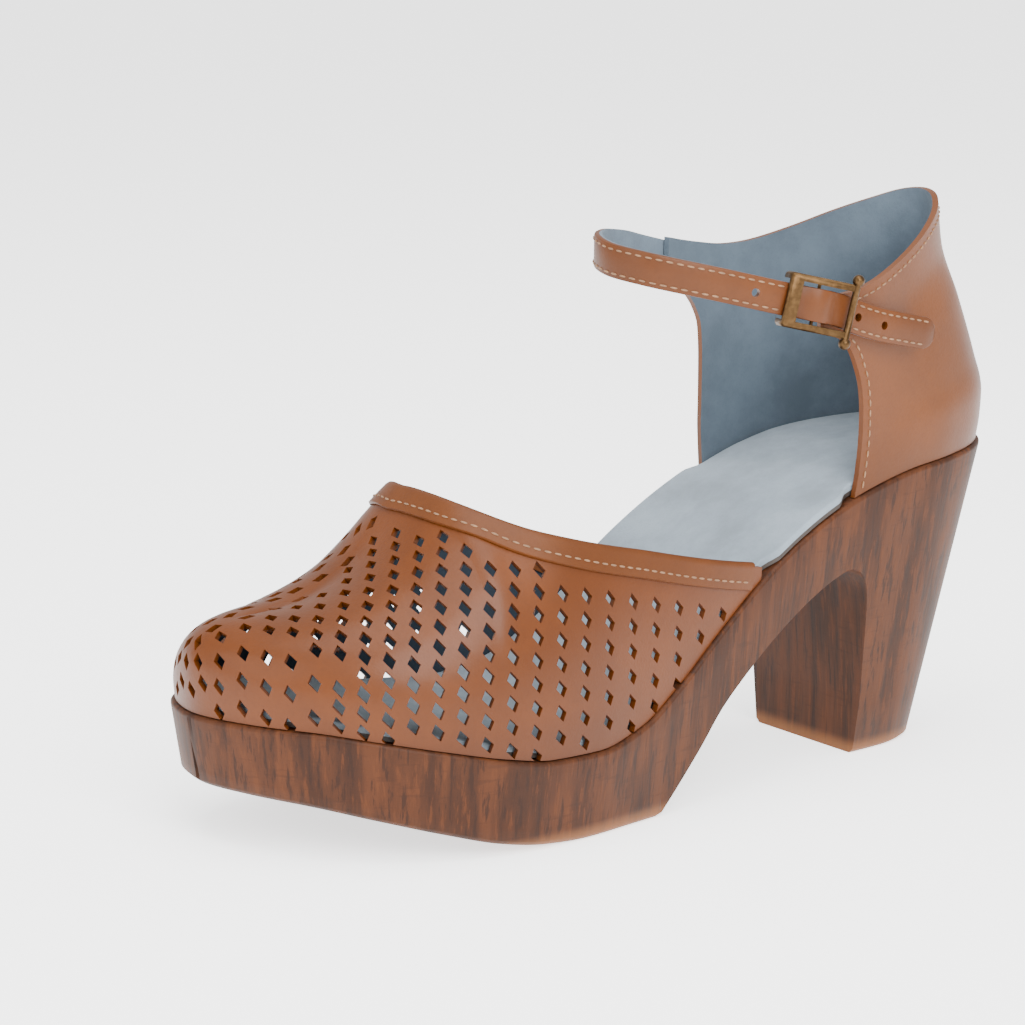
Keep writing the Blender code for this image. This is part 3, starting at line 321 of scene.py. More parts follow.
# Middle line of the ankle strap, from its sewn end on the inner ear, round the front of the
# ankle, through the buckle to its loose tip. Columns: share of SOLE_LENGTH, share of
# BALL_WIDTH, share of COUNTER_PEAK.
STRAP_LINE = [
    (0.269, -0.3475, 0.8545),
    (0.310, -0.3380, 0.8680),
    (0.355, -0.3100, 0.8840),
    (0.400, -0.2600, 0.9000),
    (0.442, -0.2000, 0.9150),
    (0.490, -0.1200, 0.9250),
    (0.520, -0.0350, 0.9230),
    (0.529, 0.0600, 0.9150),
    (0.515, 0.1640, 0.9050),
    (0.488, 0.2290, 0.8935),
    (0.450, 0.2850, 0.8790),
    (0.407, 0.3330, 0.8620),
    (0.384, 0.3560, 0.8530),
    (0.347, 0.3850, 0.8400),
    (0.318, 0.3980, 0.8280),
    (0.290, 0.4030, 0.8110),
    (0.260, 0.4000, 0.7970),
    (0.225, 0.3950, 0.7850),
    (0.180, 0.3900, 0.7700),
]
BUCKLE_PLACE = 0.347
BUCKLE_SEARCH_FROM = 0.5


# Ends of the cutter of the arch, below the floor
ARCH_FOOT = ((0.222 * SOLE_LENGTH, -0.08 * SEAT_HEIGHT), (0.575 * SOLE_LENGTH, -0.08 * SEAT_HEIGHT))


def slopes(xs, ys):
    """Slope at each point of a curve that does not overshoot its points."""
    step = np.diff(ys) / np.diff(xs)
    slope = np.empty(len(xs))
    slope[0] = step[0]
    slope[-1] = step[-1]
    for i in range(1, len(xs) - 1):
        before, after = step[i - 1], step[i]
        slope[i] = 0.0 if before * after <= 0 else 2 * before * after / (before + after)
    return slope


def read(table, column, share):
    """Read one column of a table smoothly at a share of its first column."""
    xs = np.array([row[0] for row in table], float)
    ys = np.array([row[column] for row in table], float)
    slope = slopes(xs, ys)
    place = min(max(share, xs[0]), xs[-1])
    i = min(int(np.searchsorted(xs, place, side="right")) - 1, len(xs) - 2)
    width = xs[i + 1] - xs[i]
    t = (place - xs[i]) / width
    return float(
        ys[i] * (1 + 2 * t) * (1 - t) ** 2
        + slope[i] * width * t * (1 - t) ** 2
        + ys[i + 1] * t * t * (3 - 2 * t)
        + slope[i + 1] * width * t * t * (t - 1)
    )


def smooth_line(points, closed=False, steps=12):
    """Dense points on a smooth curve through the given points."""
    points = [np.array(p, float) for p in points]
    count = len(points)
    spans = count if closed else count - 1
    dense = []
    for i in range(spans):
        if closed:
            p0, p1, p2, p3 = (points[(i + k) % count] for k in (-1, 0, 1, 2))
        else:
            p1, p2 = points[i], points[i + 1]
            p0 = points[i - 1] if i > 0 else 2 * p1 - p2
            p3 = points[i + 2] if i + 2 < count else 2 * p2 - p1
        d1 = np.linalg.norm(p1 - p0) ** 0.5
        d2 = np.linalg.norm(p2 - p1) ** 0.5
        d3 = np.linalg.norm(p3 - p2) ** 0.5
        m1 = (p1 - p0) / d1 - (p2 - p0) / (d1 + d2) + (p2 - p1) / d2
        m2 = (p2 - p1) / d2 - (p3 - p1) / (d2 + d3) + (p3 - p2) / d3
        for k in range(steps):
            t = k / steps
            dense.append(
                p1 * (1 + 2 * t) * (1 - t) ** 2
                + m1 * d2 * t * (1 - t) ** 2
                + p2 * t * t * (3 - 2 * t)
                + m2 * d2 * t * t * (t - 1)
            )
    if not closed:
        dense.append(points[-1])
    return np.array(dense)


def arc_lengths(points):
    """Running length along a row of points."""
    steps = np.linalg.norm(np.diff(points, axis=0), axis=1)
    return np.concatenate([[0.0], np.cumsum(steps)])


class WoodEdge:
    """The wood's edge seen from above: a closed line from the heel tip along the outer side
    to the toe tip and back along the inner side."""

    steps = 12
    reach = 0.0015

    def __init__(self):
        outer = [(row[0], row[1]) for row in OUTLINE]
        inner = [(row[0], row[2]) for row in OUTLINE]
        loop = [HEEL_TIP] + outer + [TOE_TIP] + inner[::-1]
        sized = [(x * SOLE_LENGTH, y * BALL_WIDTH) for x, y in loop]
        dense = smooth_line(sized, closed=True, steps=self.steps)
        self.points = np.vstack([dense, dense[:1]])
        self.lengths = arc_lengths(self.points)
        self.total = self.lengths[-1]
        self.toe = (len(outer) + 1) * self.steps
        self.outer_length = self.lengths[self.toe]

    def place(self, side, share):
        """Length along the closed line at a share of one side, counted from the heel tip."""
        if side == 1:
            return share * self.outer_length
        return self.total - share * (self.total - self.outer_length)

    def point(self, place):
        place = place % self.total
        return np.array([np.interp(place, self.lengths, self.points[:, k]) for k in (0, 1)])

    def inward(self, place):
        run = self.point(place + self.reach) - self.point(place - self.reach)
        run = run / np.linalg.norm(run)
        return np.array([run[1], -run[0]])

    def share_at_x(self, side, x):
        """Share of one side's length at which it reaches x."""
        if side == 1:
            xs = self.points[: self.toe + 1, 0]
            lengths = self.lengths[: self.toe + 1]
        else:
            xs = self.points[self.toe:, 0][::-1]
            lengths = (self.total - self.lengths[self.toe:])[::-1]
        return float(np.interp(x, xs, lengths) / lengths[-1])


EDGE = WoodEdge()


def edge_at(side, share, inset):
    """Point on the wood's edge at a share of one side's length, moved in by inset."""
    place = EDGE.place(side, share)
    return EDGE.point(place) + EDGE.inward(place) * inset


def share_at_x(side, x):
    return EDGE.share_at_x(side, x)


def wood_top(x):
    return read(PROFILE, 1, x / SOLE_LENGTH) * SEAT_HEIGHT


def wood_tread(x):
    return read(PROFILE, 2, x / SOLE_LENGTH) * SEAT_HEIGHT


def blend(value, low, high):
    """Rise smoothly from 0 at low to 1 at high."""
    t = min(max((value - low) / (high - low), 0.0), 1.0)
    return t * t * (3 - 2 * t)


def foot_point(side, share):
    """Point on the sole's tread below one point of its top edge."""
    top = edge_at(side, share, 0.0)
    leaned = edge_at(side, share, WALL_LEAN)
    along = top[0] / SEAT_LENGTH
    heel_x = HEEL_BACK_LEAN + along * HEEL_TREAD_LENGTH
    heel_y = top[1] * HEEL_TREAD_WIDTH / SEAT_WIDTH
    ahead = blend(top[0], SEAT_LENGTH, 2.1 * SEAT_LENGTH)
    x = heel_x + (leaned[0] - heel_x) * ahead
    y = heel_y + (leaned[1] - heel_y) * ahead
    return np.array([x, y])


def station_shares():
    """Places of the sole's sections as shares of its sides, from just past each tip."""
    first, last = 0.004, 0.997
    return [first + (last - first) * i / SOLE_STATIONS for i in range(SOLE_STATIONS + 1)]


def insole_inset(side, x):
    """How far the insole's edge lies in from the wood's edge."""
    covered = UPPER_INSET + LEATHER + INSOLE_GAP
    counter_front = read(COUNTER_FRONT, 1 if side == 1 else 2, 0.0) * SOLE_LENGTH
    vamp_back = VAMP_BACK_OUTER if side == 1 else VAMP_BACK_INNER
    step = 0.005
    behind = 1 - blend(x, counter_front + 0.001, counter_front + 0.001 + step)
    ahead = blend(x, vamp_back - 0.002 - step, vamp_back - 0.002)
    return INSOLE_EDGE_INSET + (covered - INSOLE_EDGE_INSET) * max(behind, ahead)


def vamp_ridge(x):
    """Highest point of the vamp's section at x."""
    share = x / SOLE_LENGTH
    height = read(RIDGE, 1, share) * RIDGE_HEIGHT
    across = read(RIDGE, 2, share) * BALL_WIDTH
    return np.array([x, across, height])


def vamp_columns(side, count):
    """Places of the vamp's columns as shares of one side's edge, back end to toe tip."""
    back = share_at_x(side, VAMP_BACK_OUTER if side == 1 else VAMP_BACK_INNER)
    throat = share_at_x(side, THROAT_X)
    rear = int(round(count * 0.55))
    shares = [back + (throat - back) * math.sin(math.pi / 2 * i / rear) ** 0.9
              for i in range(rear)]
    shares += [throat + (1 - throat) * i / (count - rear) for i in range(count - rear + 1)]
    return shares


def vamp_point(side, share, rise, lift=0.0):
    """Point of the vamp's outer face. rise is 0 on the wood and 1 at the top edge or ridge."""
    edge = edge_at(side, share, UPPER_INSET)
    seam = edge_at(side, share, UPPER_INSET - 0.001) - edge
    outward = np.array([*seam, 0.0]) / np.linalg.norm(seam)
    front = share_at_x(side, THROAT_X)
    over = max(share - front, 0.0) / (1.0 - front)
    ridge_x = edge_at(side, share, 0.0)[0]
    if share >= front:
        ridge_x = THROAT_X + (TOE_CENTRE_X - THROAT_X) * over ** 0.9
    ridge = vamp_ridge(ridge_x)
    toe_share = blend(over, 0.6, 1.0)
    own = read(RIDGE, 3 if side == 1 else 4, ridge_x / SOLE_LENGTH)
    roundness = own + (read(RIDGE, 3, ridge_x / SOLE_LENGTH) - own) * toe_share
    floor = wood_top(edge[0]) + FIT_GAP
    base = np.array([edge[0], edge[1], floor])
    high = 1.0
    if share < front:
        top = read(TOPLINE, 1 if side == 1 else 2, edge[0] / SOLE_LENGTH) * RIDGE_HEIGHT
        level = min(max((top - floor) / (ridge[2] - floor), 0.0), 1.0)
        high = math.asin(level ** (roundness / 2)) / (math.pi / 2)
    angle = math.pi / 2 * rise * high
    out = math.cos(angle) ** (2 / roundness) if angle < math.pi / 2 - 1e-9 else 0.0
    up = math.sin(angle) ** (2 / roundness) if angle > 0 else 0.0
    point = ridge + (base - ridge) * np.array([out, out, 1.0])
    point[2] = floor + (ridge[2] - floor) * up
    point = point + outward * VAMP_BULGE * math.sin(min(2 * angle, math.pi))
    point[2] += lift
    return point


def rise_shares(rows):
    """Even steps up the wall, closer together near the wood."""
    return [(k / rows) ** 1.25 for k in range(rows + 1)]


def row_number(x, y, z):
    """Which row of perforations passes through a point of the outer side, whole or between
    two rows."""
    along = x - ROW_ORIGIN[0]
    across = y - ROW_ORIGIN[1]
    rise = z - ROW_ORIGIN[2] - ROW_SLOPE_ALONG * along - ROW_SLOPE_ACROSS * across
    step = ROW_STEP + ROW_SLOPE_ALONG_STEP * along + ROW_SLOPE_ACROSS_STEP * across
    return rise / step


def mirrored_y(y, side):
    """Place across as seen from the outer side of the toe's centre line."""
    return y if side == 1 else 2 * CENTRE_Y - y


def cast_line(tree, centre, heading, low, high, count=110):
    """Points of the vamp hit by a fan of rays in one upright plane."""
    points = []
    for k in range(count + 1):
        angle = math.radians(low + (high - low) * k / count)
        flat = math.sin(angle)
        hit = tree.ray_cast(centre, Vector((heading[0] * flat, heading[1] * flat, math.cos(angle))))
        if hit[0] is not None:
            points.append(np.array(hit[0]))
    return np.array(points)


def column_line(tree, plane, side):
    """Points down one side of the vamp in an upright plane, from the centre line on."""
    ahead, aside = COLUMN_HEADING
    ridge_x = (ahead * CENTRE_Y - plane) / aside
    shift = min(max((0.215 - ridge_x) / 0.060, 0.0), 1.0) * BALL_WIDTH * 0.27
    x = ridge_x + shift * ahead / aside
    centre = Vector((x, CENTRE_Y + shift * side, wood_top(x) + 0.004))
    line = cast_line(tree, centre, (ahead, aside * side), -75, 130)
    return np.array([p for p in line if mirrored_y(p[1], side) >= CENTRE_Y - 1e-6])


def centre_crossings(tree):
    """Where the lattice meets the toe's centre line: for each column of the outer side the
    row that crosses it there, and for each row the upright plane in which it goes on."""
    ahead, aside = COLUMN_HEADING
    middle = (THROAT_X + SOLE_LENGTH) / 2
    centre = Vector((middle, CENTRE_Y, wood_top(middle) + 0.006))
    line = cast_line(tree, centre, (1.0, 0.0), -70, 100)
    numbers = np.array([row_number(*p) for p in line])
    row_targets = {}
    for column in range(COLUMN_COUNT):
        plane = COLUMN_START + column * COLUMN_STEP
        x = (ahead * CENTRE_Y - plane) / aside
        if x > line[-1][0]:
            continue
        if x >= line[0][0]:
            row_targets[column] = float(np.interp(x, line[:, 0], numbers))
        else:
            row_targets[column] = row_targets[column - 1] + COLUMN_STEP / ROW_STEP
    planes = {}
    for number in range(0, ROW_HIGHEST + 1):
        if number < numbers[0]:
            x = float(np.interp(-number, -numbers, line[:, 0]))
            planes[number] = ahead * CENTRE_Y - aside * x
        else:
            planes[number] = planes[number - 1] + ROW_STEP
    for number in range(-1, ROW_LOWEST - 1, -1):
        x = float(np.interp(-number, -numbers, line[:, 0]))
        plane = ahead * CENTRE_Y - aside * x
        planes[number] = min(plane, planes[number + 1] - 0.85 * ROW_STEP)
    return row_targets, planes


def lattice_points(tree):
    """Every crossing of the lattice on the vamp: row, column, place and the direction down
    the upright line through it."""
    row_targets, planes = centre_crossings(tree)
    lines = []
    for column in range(COLUMN_COUNT):
        targets = [(n, column, float(n)) for n in range(ROW_LOWEST, ROW_HIGHEST + 1)]
        lines.append((COLUMN_START + column * COLUMN_STEP, 1, targets))
    for number, plane in planes.items():
        targets = [(number, column, target) for column, target in row_targets.items()]
        lines.append((plane, -1, targets))
    found = []
    for plane, side, targets in lines:
        line = column_line(tree, plane, side)
        if len(line) < 3:
            continue
        numbers = np.array([row_number(p[0], mirrored_y(p[1], side), p[2]) for p in line])
        for number, column, target in targets:
            if not numbers[-1] < target < numbers[0]:
                continue
            point = np.array([np.interp(-target, -numbers, line[:, k]) for k in range(3)])
            lower = np.array([np.interp(-target + 0.2, -numbers, line[:, k]) for k in range(3)])
            upper = np.array([np.interp(-target - 0.2, -numbers, line[:, k]) for k in range(3)])
            found.append((number, column, point, lower - upper))
    return found


def perforation_places(tree, every):
    """Centre, direction along the row and outward normal of each perforation. Only one in so
    many is kept, and the kept ones are staggered from row to row."""
    places = []
    kept = []
    for number, column, point, down in lattice_points(tree):
        if kept and np.min(np.linalg.norm(np.array(kept) - point, axis=1)) < HOLE_SPACING:
            continue
        kept.append(point)
        if (number + 2 * column) % every:
            continue
        hit, normal, _, _ = tree.find_nearest(Vector(point))
        down = Vector(down) - normal * Vector(down).dot(normal)
        places.append((hit, down.normalized().cross(normal), normal))
    return places


def top_edge_line(columns):
    """Points along the vamp's top edge, from the outer back end to the inner back end."""
    line = []
    for side in (1, -1):
        shares = [s for s in vamp_columns(side, columns) if s <= share_at_x(side, THROAT_X)]
        half = [vamp_point(side, share, 1.0) for share in shares]
        line += half if side == 1 else half[::-1][1:]
    return np.array(line)


def distance_to_line(point, line):
    """Shortest distance from a point to a row of points."""
    starts = line[:-1]
    runs = line[1:] - starts
    spans = np.maximum((runs ** 2).sum(axis=1), 1e-12)
    shares = np.clip(((point - starts) * runs).sum(axis=1) / spans, 0, 1)
    nearest = starts + runs * shares[:, None]
    return float(np.min(np.linalg.norm(nearest - point, axis=1)))


def even_line(points, spacing):
    """Points at even steps along a row of points."""
    lengths = arc_lengths(points)
    count = max(int(round(lengths[-1] / spacing)), 2)
    places = np.linspace(0.0, lengths[-1], count + 1)
    return np.array([[np.interp(p, lengths, points[:, k]) for k in range(3)] for p in places])


def rim_curve(side):
    """Dense points of the counter's top edge on one side, back to front."""
    points = []
    for row in COUNTER_RIM:
        column = 1 if side == 1 else 2
        height = row[3] if side == 1 else row[4]
        points.append((row[0] * SOLE_LENGTH, row[column] * BALL_WIDTH, height * COUNTER_PEAK))
    other = COUNTER_RIM[1]
    mirror_y = (other[2] if side == 1 else other[1]) * BALL_WIDTH
    lead = (other[0] * SOLE_LENGTH, mirror_y, other[3 if side == -1 else 4] * COUNTER_PEAK)
    dense = smooth_line([lead] + points, steps=12)
    return dense[12:]


RIMS = {1: rim_curve(1), -1: rim_curve(-1)}
BASE_SHARE = {1: share_at_x(1, 0.400 * SOLE_LENGTH), -1: share_at_x(-1, 0.400 * SOLE_LENGTH)}


def counter_point(side, reach, rise):
    """Point of the counter's outer face. reach is 0 at the back seam, 1 well past the ears."""
    edge = edge_at(side, reach * BASE_SHARE[side], UPPER_INSET)
    if reach <= 0.0:
        edge = np.array([UPPER_INSET, 0.0])
    rim = RIMS[side]
    lengths = arc_lengths(rim)
    top = np.array([np.interp(reach * lengths[-1], lengths, rim[:, k]) for k in range(3)])
    lean = read(COUNTER_LEAN, 1, rise)
    floor = wood_top(edge[0]) + FIT_GAP
    side_lean = lean if lean > 0 else lean * COUNTER_BACK_LEAN / max(
        np.linalg.norm(top[:2] - edge), 0.001)
    x = edge[0] + (top[0] - edge[0]) * side_lean
    y = edge[1] + (top[1] - edge[1]) * side_lean
    return np.array([x, y, floor + (top[2] - floor) * rise])


def counter_front_x(side, rise):
    """Where the counter's front edge lies at a share of its height."""
    end = EAR_END_OUTER if side == 1 else EAR_END_INNER
    if rise >= EAR_START_SHARE:
        return end
    last = COUNTER_FRONT[-1]
    column = 1 if side == 1 else 2
    if rise > last[0]:
        t = (rise - last[0]) / (EAR_START_SHARE - last[0])
        return last[column] * SOLE_LENGTH * (1 - t) + end * t
    return read(COUNTER_FRONT, column, rise) * SOLE_LENGTH


def counter_reach(side, rise):
    """Reach at which the counter's row meets its front edge."""
    target = counter_front_x(side, rise)
    low, high = 0.2, 1.0
    for _ in range(24):
        middle = (low + high) / 2
        if counter_point(side, middle, rise)[0] < target:
            low = middle
        else:
            high = middle
    return low


def counter_rises(rows):
    """Steps up the counter's wall, with one at the lower edge of the ears."""
    lower = int(round(rows * 0.72))
    steps = [EAR_START_SHARE * k / lower for k in range(lower)]
    upper = rows - lower
    return steps + [EAR_START_SHARE + (1 - EAR_START_SHARE) * k / upper for k in range(upper + 1)]


class StrapLine:
    """The strap's middle line, with its direction, width direction and outward normal."""

    def __init__(self):
        sized = [(x * SOLE_LENGTH, y * BALL_WIDTH, z * COUNTER_PEAK) for x, y, z in STRAP_LINE]
        self.points = smooth_line(sized, steps=10)
        self.lengths = arc_lengths(self.points)
        self.total = self.lengths[-1]
        start = int(len(self.points) * BUCKLE_SEARCH_FROM)
        xs = self.points[start:, 0]
        self.buckle = float(np.interp(-BUCKLE_PLACE * SOLE_LENGTH, -xs, self.lengths[start:]))

    def point(self, place):
        if place > self.total:
            return self.points[-1] + self.direction(self.total - 0.001) * (place - self.total)
        return np.array([np.interp(place, self.lengths, self.points[:, k]) for k in range(3)])

    def direction(self, place):
        ahead = min(place + 0.002, self.total)
        behind = max(place - 0.002, 0.0)
        run = self.point(ahead) - self.point(behind)
        return run / np.linalg.norm(run)

    def frame(self, place):
        """Direction along the strap, across its width and away from the foot."""
        run = self.direction(place)
        up = np.array([0.0, 0.0, 1.0]) - run * run[2]
        up = up / np.linalg.norm(up)
        away = np.cross(run, up)
        return run, up, away

    def place(self, along, across, away):
        """Point at a length along the strap, across its width and off its middle."""
        _, up, out = self.frame(along)
        return self.point(along) + up * across + out * away


def strap_rise(line, along):
    """How far the strap stands off its line to climb over the buckle's centre bar."""
    over = strap_rise_top()
    half = BUCKLE_LENGTH / 2 - FRONT_BAR_LENGTH
    t = (along - line.buckle) / half
    if abs(t) >= 1:
        return 0.0
    return over * 0.5 * (1 + math.cos(math.pi * t))


def strap_half_width(line, along):
    """Half the strap's width, drawn in to a round tip at its loose end."""
    left = line.total - along
    if left >= STRAP_TIP_LENGTH:
        return STRAP_WIDTH / 2
    t = 1 - max(left, 0.0) / STRAP_TIP_LENGTH
    return max(STRAP_WIDTH / 2 * math.sqrt(max(1 - t * t, 0.0)), STRAP_WIDTH * 0.12)


def strap_rise_top():
    return TAB_LOOP_WALL + FIT_GAP + 2 * CENTRE_BAR_RADIUS


def to_object_frame(point):
    """A point of the modelling frame in the shoe's own frame."""
    return Vector(point) - Vector(BOX_MIDDLE)


def surface(bm, columns, rows, place, slot_at=None):
    """Add a grid whose points lie where place(column, row) says."""
    made = bmesh.ops.create_grid(bm, x_segments=columns, y_segments=rows, size=1.0)
    faces = {face for vert in made["verts"] for face in vert.link_faces}
    if slot_at is not None:
        for face in faces:
            middle = face.calc_center_median()
            column = int((middle.x + 1) / 2 * columns)
            row = int((middle.y + 1) / 2 * rows)
            face.material_index = slot_at(column, row)
    for vert in made["verts"]:
        column = round((vert.co.x + 1) / 2 * columns)
        row = round((vert.co.y + 1) / 2 * rows)
        vert.co = place(column, row)
    return made["verts"]


def tube(rings, slot_at=None):
    """A closed skin over a row of rings that have as many points each."""
    bm = bmesh.new()
    count = len(rings[0])
    surface(bm, len(rings) - 1, count, lambda c, r: Vector(rings[c][r % count]), slot_at)
    bmesh.ops.remove_doubles(bm, verts=bm.verts, dist=0.000001)
    open_edges = [edge for edge in bm.edges if len(edge.link_faces) == 1]
    bmesh.ops.holes_fill(bm, edges=open_edges, sides=0)
    bmesh.ops.recalc_face_normals(bm, faces=bm.faces)
    if bm.calc_volume(signed=True) < 0:
        bmesh.ops.reverse_faces(bm, faces=bm.faces)
    return bm


def finish_object(name, bm, materials, sharp=38):
    """Put a bmesh of the modelling frame into the scene as a smooth object."""
    bmesh.ops.translate(bm, verts=bm.verts, vec=-Vector(BOX_MIDDLE))
    mesh = bpy.data.meshes.new(name)
    bm.to_mesh(mesh)
    bm.free()
    for material in materials:
        mesh.materials.append(material)
    obj = bpy.data.objects.new(name, mesh)
    bpy.context.scene.collection.objects.link(obj)
    mesh.shade_smooth()
    mesh.set_sharp_from_angle(angle=math.radians(sharp))
    return obj


def settle(obj, sharp=38):
    """Keep what the object's modifiers make as its own mesh."""
    bpy.context.view_layer.update()
    graph = bpy.context.evaluated_depsgraph_get()
    mesh = bpy.data.meshes.new_from_object(obj.evaluated_get(graph))
    obj.modifiers.clear()
    obj.data = mesh
    mesh.shade_smooth()
    mesh.set_sharp_from_angle(angle=math.radians(sharp))


def cut_away(obj, cutter, sharp=38, overlapping=False):
    """Cut one object out of another and drop the cutter."""
    modifier = obj.modifiers.new("cut", "BOOLEAN")
    modifier.object = cutter
    modifier.operation = "DIFFERENCE"
    modifier.solver = "EXACT"
    modifier.use_self = overlapping
    settle(obj, sharp)
    bpy.data.objects.remove(cutter, do_unlink=True)


def thicken(obj, thickness, lining_slot):
    """Give an open face a wall inwards, with the lining on its inner side."""
    wall = obj.modifiers.new("wall", "SOLIDIFY")
    wall.thickness = thickness
    wall.offset = -1.0
    wall.use_even_offset = False
    wall.material_offset = lining_slot


def enter(obj, slot, *nodes):
    """Tell the frame what a piece rides on and stands for. slot, what it is made of, is not used.
    """
    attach(obj, "root")
    if nodes:
        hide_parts(*nodes)


def sew(bm, line, tree, settings, first=0.0):
    """Add a row of stitches along a line that lies on a surface."""
    lengths = arc_lengths(line)
    place = first + settings.stitch_pitch / 2
    while place < lengths[-1] - settings.stitch_length / 2:
        middle = Vector([np.interp(place, lengths, line[:, k]) for k in range(3)])
        ahead = Vector([np.interp(place + 0.0008, lengths, line[:, k]) for k in range(3)])
        behind = Vector([np.interp(place - 0.0008, lengths, line[:, k]) for k in range(3)])
        hit, normal = tree.find_nearest(middle)[:2]
        run = ahead - behind
        run = (run - normal * run.dot(normal)).normalized()
        aside = normal.cross(run)
        made = bmesh.ops.create_icosphere(bm, subdivisions=2, radius=0.5)
        turn = Matrix((
            run * settings.stitch_length,
            aside * settings.stitch_width,
            normal * settings.stitch_width,
        )).transposed().to_4x4()
        turn.translation = hit + normal * settings.stitch_width * 0.12
        bmesh.ops.transform(bm, matrix=turn, verts=made["verts"])
        place += settings.stitch_pitch


class Value:
    """A socket of a material's nodes that can be reckoned with."""

    def __init__(self, tree, socket):
        self.tree = tree
        self.socket = socket

    def node(self, kind, inputs, output=0, **settings):
        """Add any node. Inputs are set or linked by name or number."""
        made = self.tree.nodes.new(kind)
        for name, setting in settings.items():
            setattr(made, name, setting)
        for name, value in inputs.items():
            if isinstance(value, Value):
                self.tree.links.new(value.socket, made.inputs[name])
            else:
                made.inputs[name].default_value = value
        return Value(self.tree, made.outputs[output])

    def math(self, operation, first, second=0.0, clamp=False):
        return self.node("ShaderNodeMath", {0: first, 1: second}, operation=operation,
                         use_clamp=clamp)

    def __add__(self, other):
        return self.math("ADD", self, other)

    def __radd__(self, other):
        return self.math("ADD", other, self)

    def __sub__(self, other):
        return self.math("SUBTRACT", self, other)

    def __rsub__(self, other):
        return self.math("SUBTRACT", other, self)

    def __mul__(self, other):
        return self.math("MULTIPLY", self, other)

    def __rmul__(self, other):
        return self.math("MULTIPLY", other, self)

    def __truediv__(self, other):
        return self.math("DIVIDE", self, other)

    def __rtruediv__(self, other):
        return self.math("DIVIDE", other, self)

    def clamped(self):
        return self.math("ADD", self, 0.0, clamp=True)

    def ramp(self, low, high):
        """0 at low and 1 at high, with soft ends."""
        return self.node("ShaderNodeMapRange", {0: self, 1: low, 2: high, 3: 0.0, 4: 1.0},
                         interpolation_type="SMOOTHSTEP")

    def mix(self, first, second):
        """The first colour at 0 and the second at 1."""
        return self.node("ShaderNodeMix", {0: self, 6: first, 7: second}, output=2,
                         data_type="RGBA")


class Material:
    """A Principled material whose inputs are fed by values."""

    def __init__(self, name):
        self.data = bpy.data.materials.new(name)
        self.data.use_nodes = True
        tree = self.data.node_tree
        self.shader = tree.nodes["Principled BSDF"]
        place = tree.nodes.new("ShaderNodeTexCoord")
        self.place = Value(tree, place.outputs["Object"])
        self.tree = tree

    def axis(self, number):
        return self.place.node("ShaderNodeSeparateXYZ", {0: self.place}, output=number)

    def noise(self, scale, detail=3.0, roughness=0.55, stretch=(1.0, 1.0, 1.0)):
        """Noise with its finest size set by scale, drawn out along the axes."""
        place = self.place.node("ShaderNodeVectorMath", {0: self.place, 1: stretch},
                                operation="MULTIPLY")
        return self.place.node(
            "ShaderNodeTexNoise",
            {"Vector": place, "Scale": scale, "Detail": detail, "Roughness": roughness})

    def grain(self, scale):
        """Distance to the nearest of many scattered points."""
        return self.place.node("ShaderNodeTexVoronoi", {"Vector": self.place, "Scale": scale})

    def feed(self, **inputs):
        for name, value in inputs.items():
            socket = self.shader.inputs[name.replace("_", " ")]
            if isinstance(value, Value):
                self.tree.links.new(value.socket, socket)
            else:
                socket.default_value = value

    def bump(self, height, strength, distance):
        self.feed(Normal=self.place.node(
            "ShaderNodeBump", {"Height": height, "Strength": strength, "Distance": distance}))


def shade(colour, factor):
    """A colour made darker or lighter."""
    return (colour[0] * factor, colour[1] * factor, colour[2] * factor, 1.0)


def wood_material(settings):
    material = Material("brown_wood")
    streaks = material.noise(620.0, 4.0, 0.65, (1.0, 1.0, 0.06))
    bands = material.noise(150.0, 3.0, 0.5, (1.0, 1.0, 0.09))
    across = material.noise(420.0, 3.0, 0.6, (0.25, 0.25, 1.6))
    colour = settings.wood_colour
    base = bands.ramp(0.36, 0.64).mix(shade(colour, 0.62), shade(colour, 1.30))
    dark = streaks.ramp(0.48, 0.36) * 0.8
    base = dark.mix(base, shade(colour, 0.38))
    light = streaks.ramp(0.53, 0.66) * 0.6
    base = light.mix(base, shade(colour, 1.75))
    base = (across.ramp(0.55, 0.70) * 0.30).mix(base, shade(colour, 0.50))
    low = material.axis(2).ramp(0.0045, 0.0005)
    base = (low * 0.35).mix(base, (0.42, 0.17, 0.06, 1.0))
    material.feed(Base_Color=base, Roughness=0.46 + 0.18 * streaks,
                  Specular_IOR_Level=0.18)
    material.bump(streaks + across * 0.5, 0.30, 0.0002)
    return material.data


def leather_material(name, colour, darkening=None, gloss=0.30, coat=0.30):
    """Smooth calf. The third argument is a value from 0 to 1 where the leather's colour is made
    darker.
    """
    material = Material(name)
    cloud = material.noise(38.0, 4.0, 0.6)
    fine = material.noise(900.0, 3.0, 0.6)
    pores = material.grain(1500.0)
    base = cloud.ramp(0.30, 0.72).mix(shade(colour, 0.84), shade(colour, 1.10))
    base = (fine.ramp(0.45, 0.75) * 0.22).mix(base, shade(colour, 0.66))
    if darkening is not None:
        base = (darkening(material) * 0.75).mix(base, shade(colour, 0.36))
    material.feed(Base_Color=base, Roughness=gloss + 0.10 * fine + 0.06 * cloud,
                  Coat_Weight=coat, Coat_Roughness=0.22, Specular_IOR_Level=0.22)
    material.bump(pores * 0.5 + fine * 0.5, 0.22, 0.00016)
    return material.data


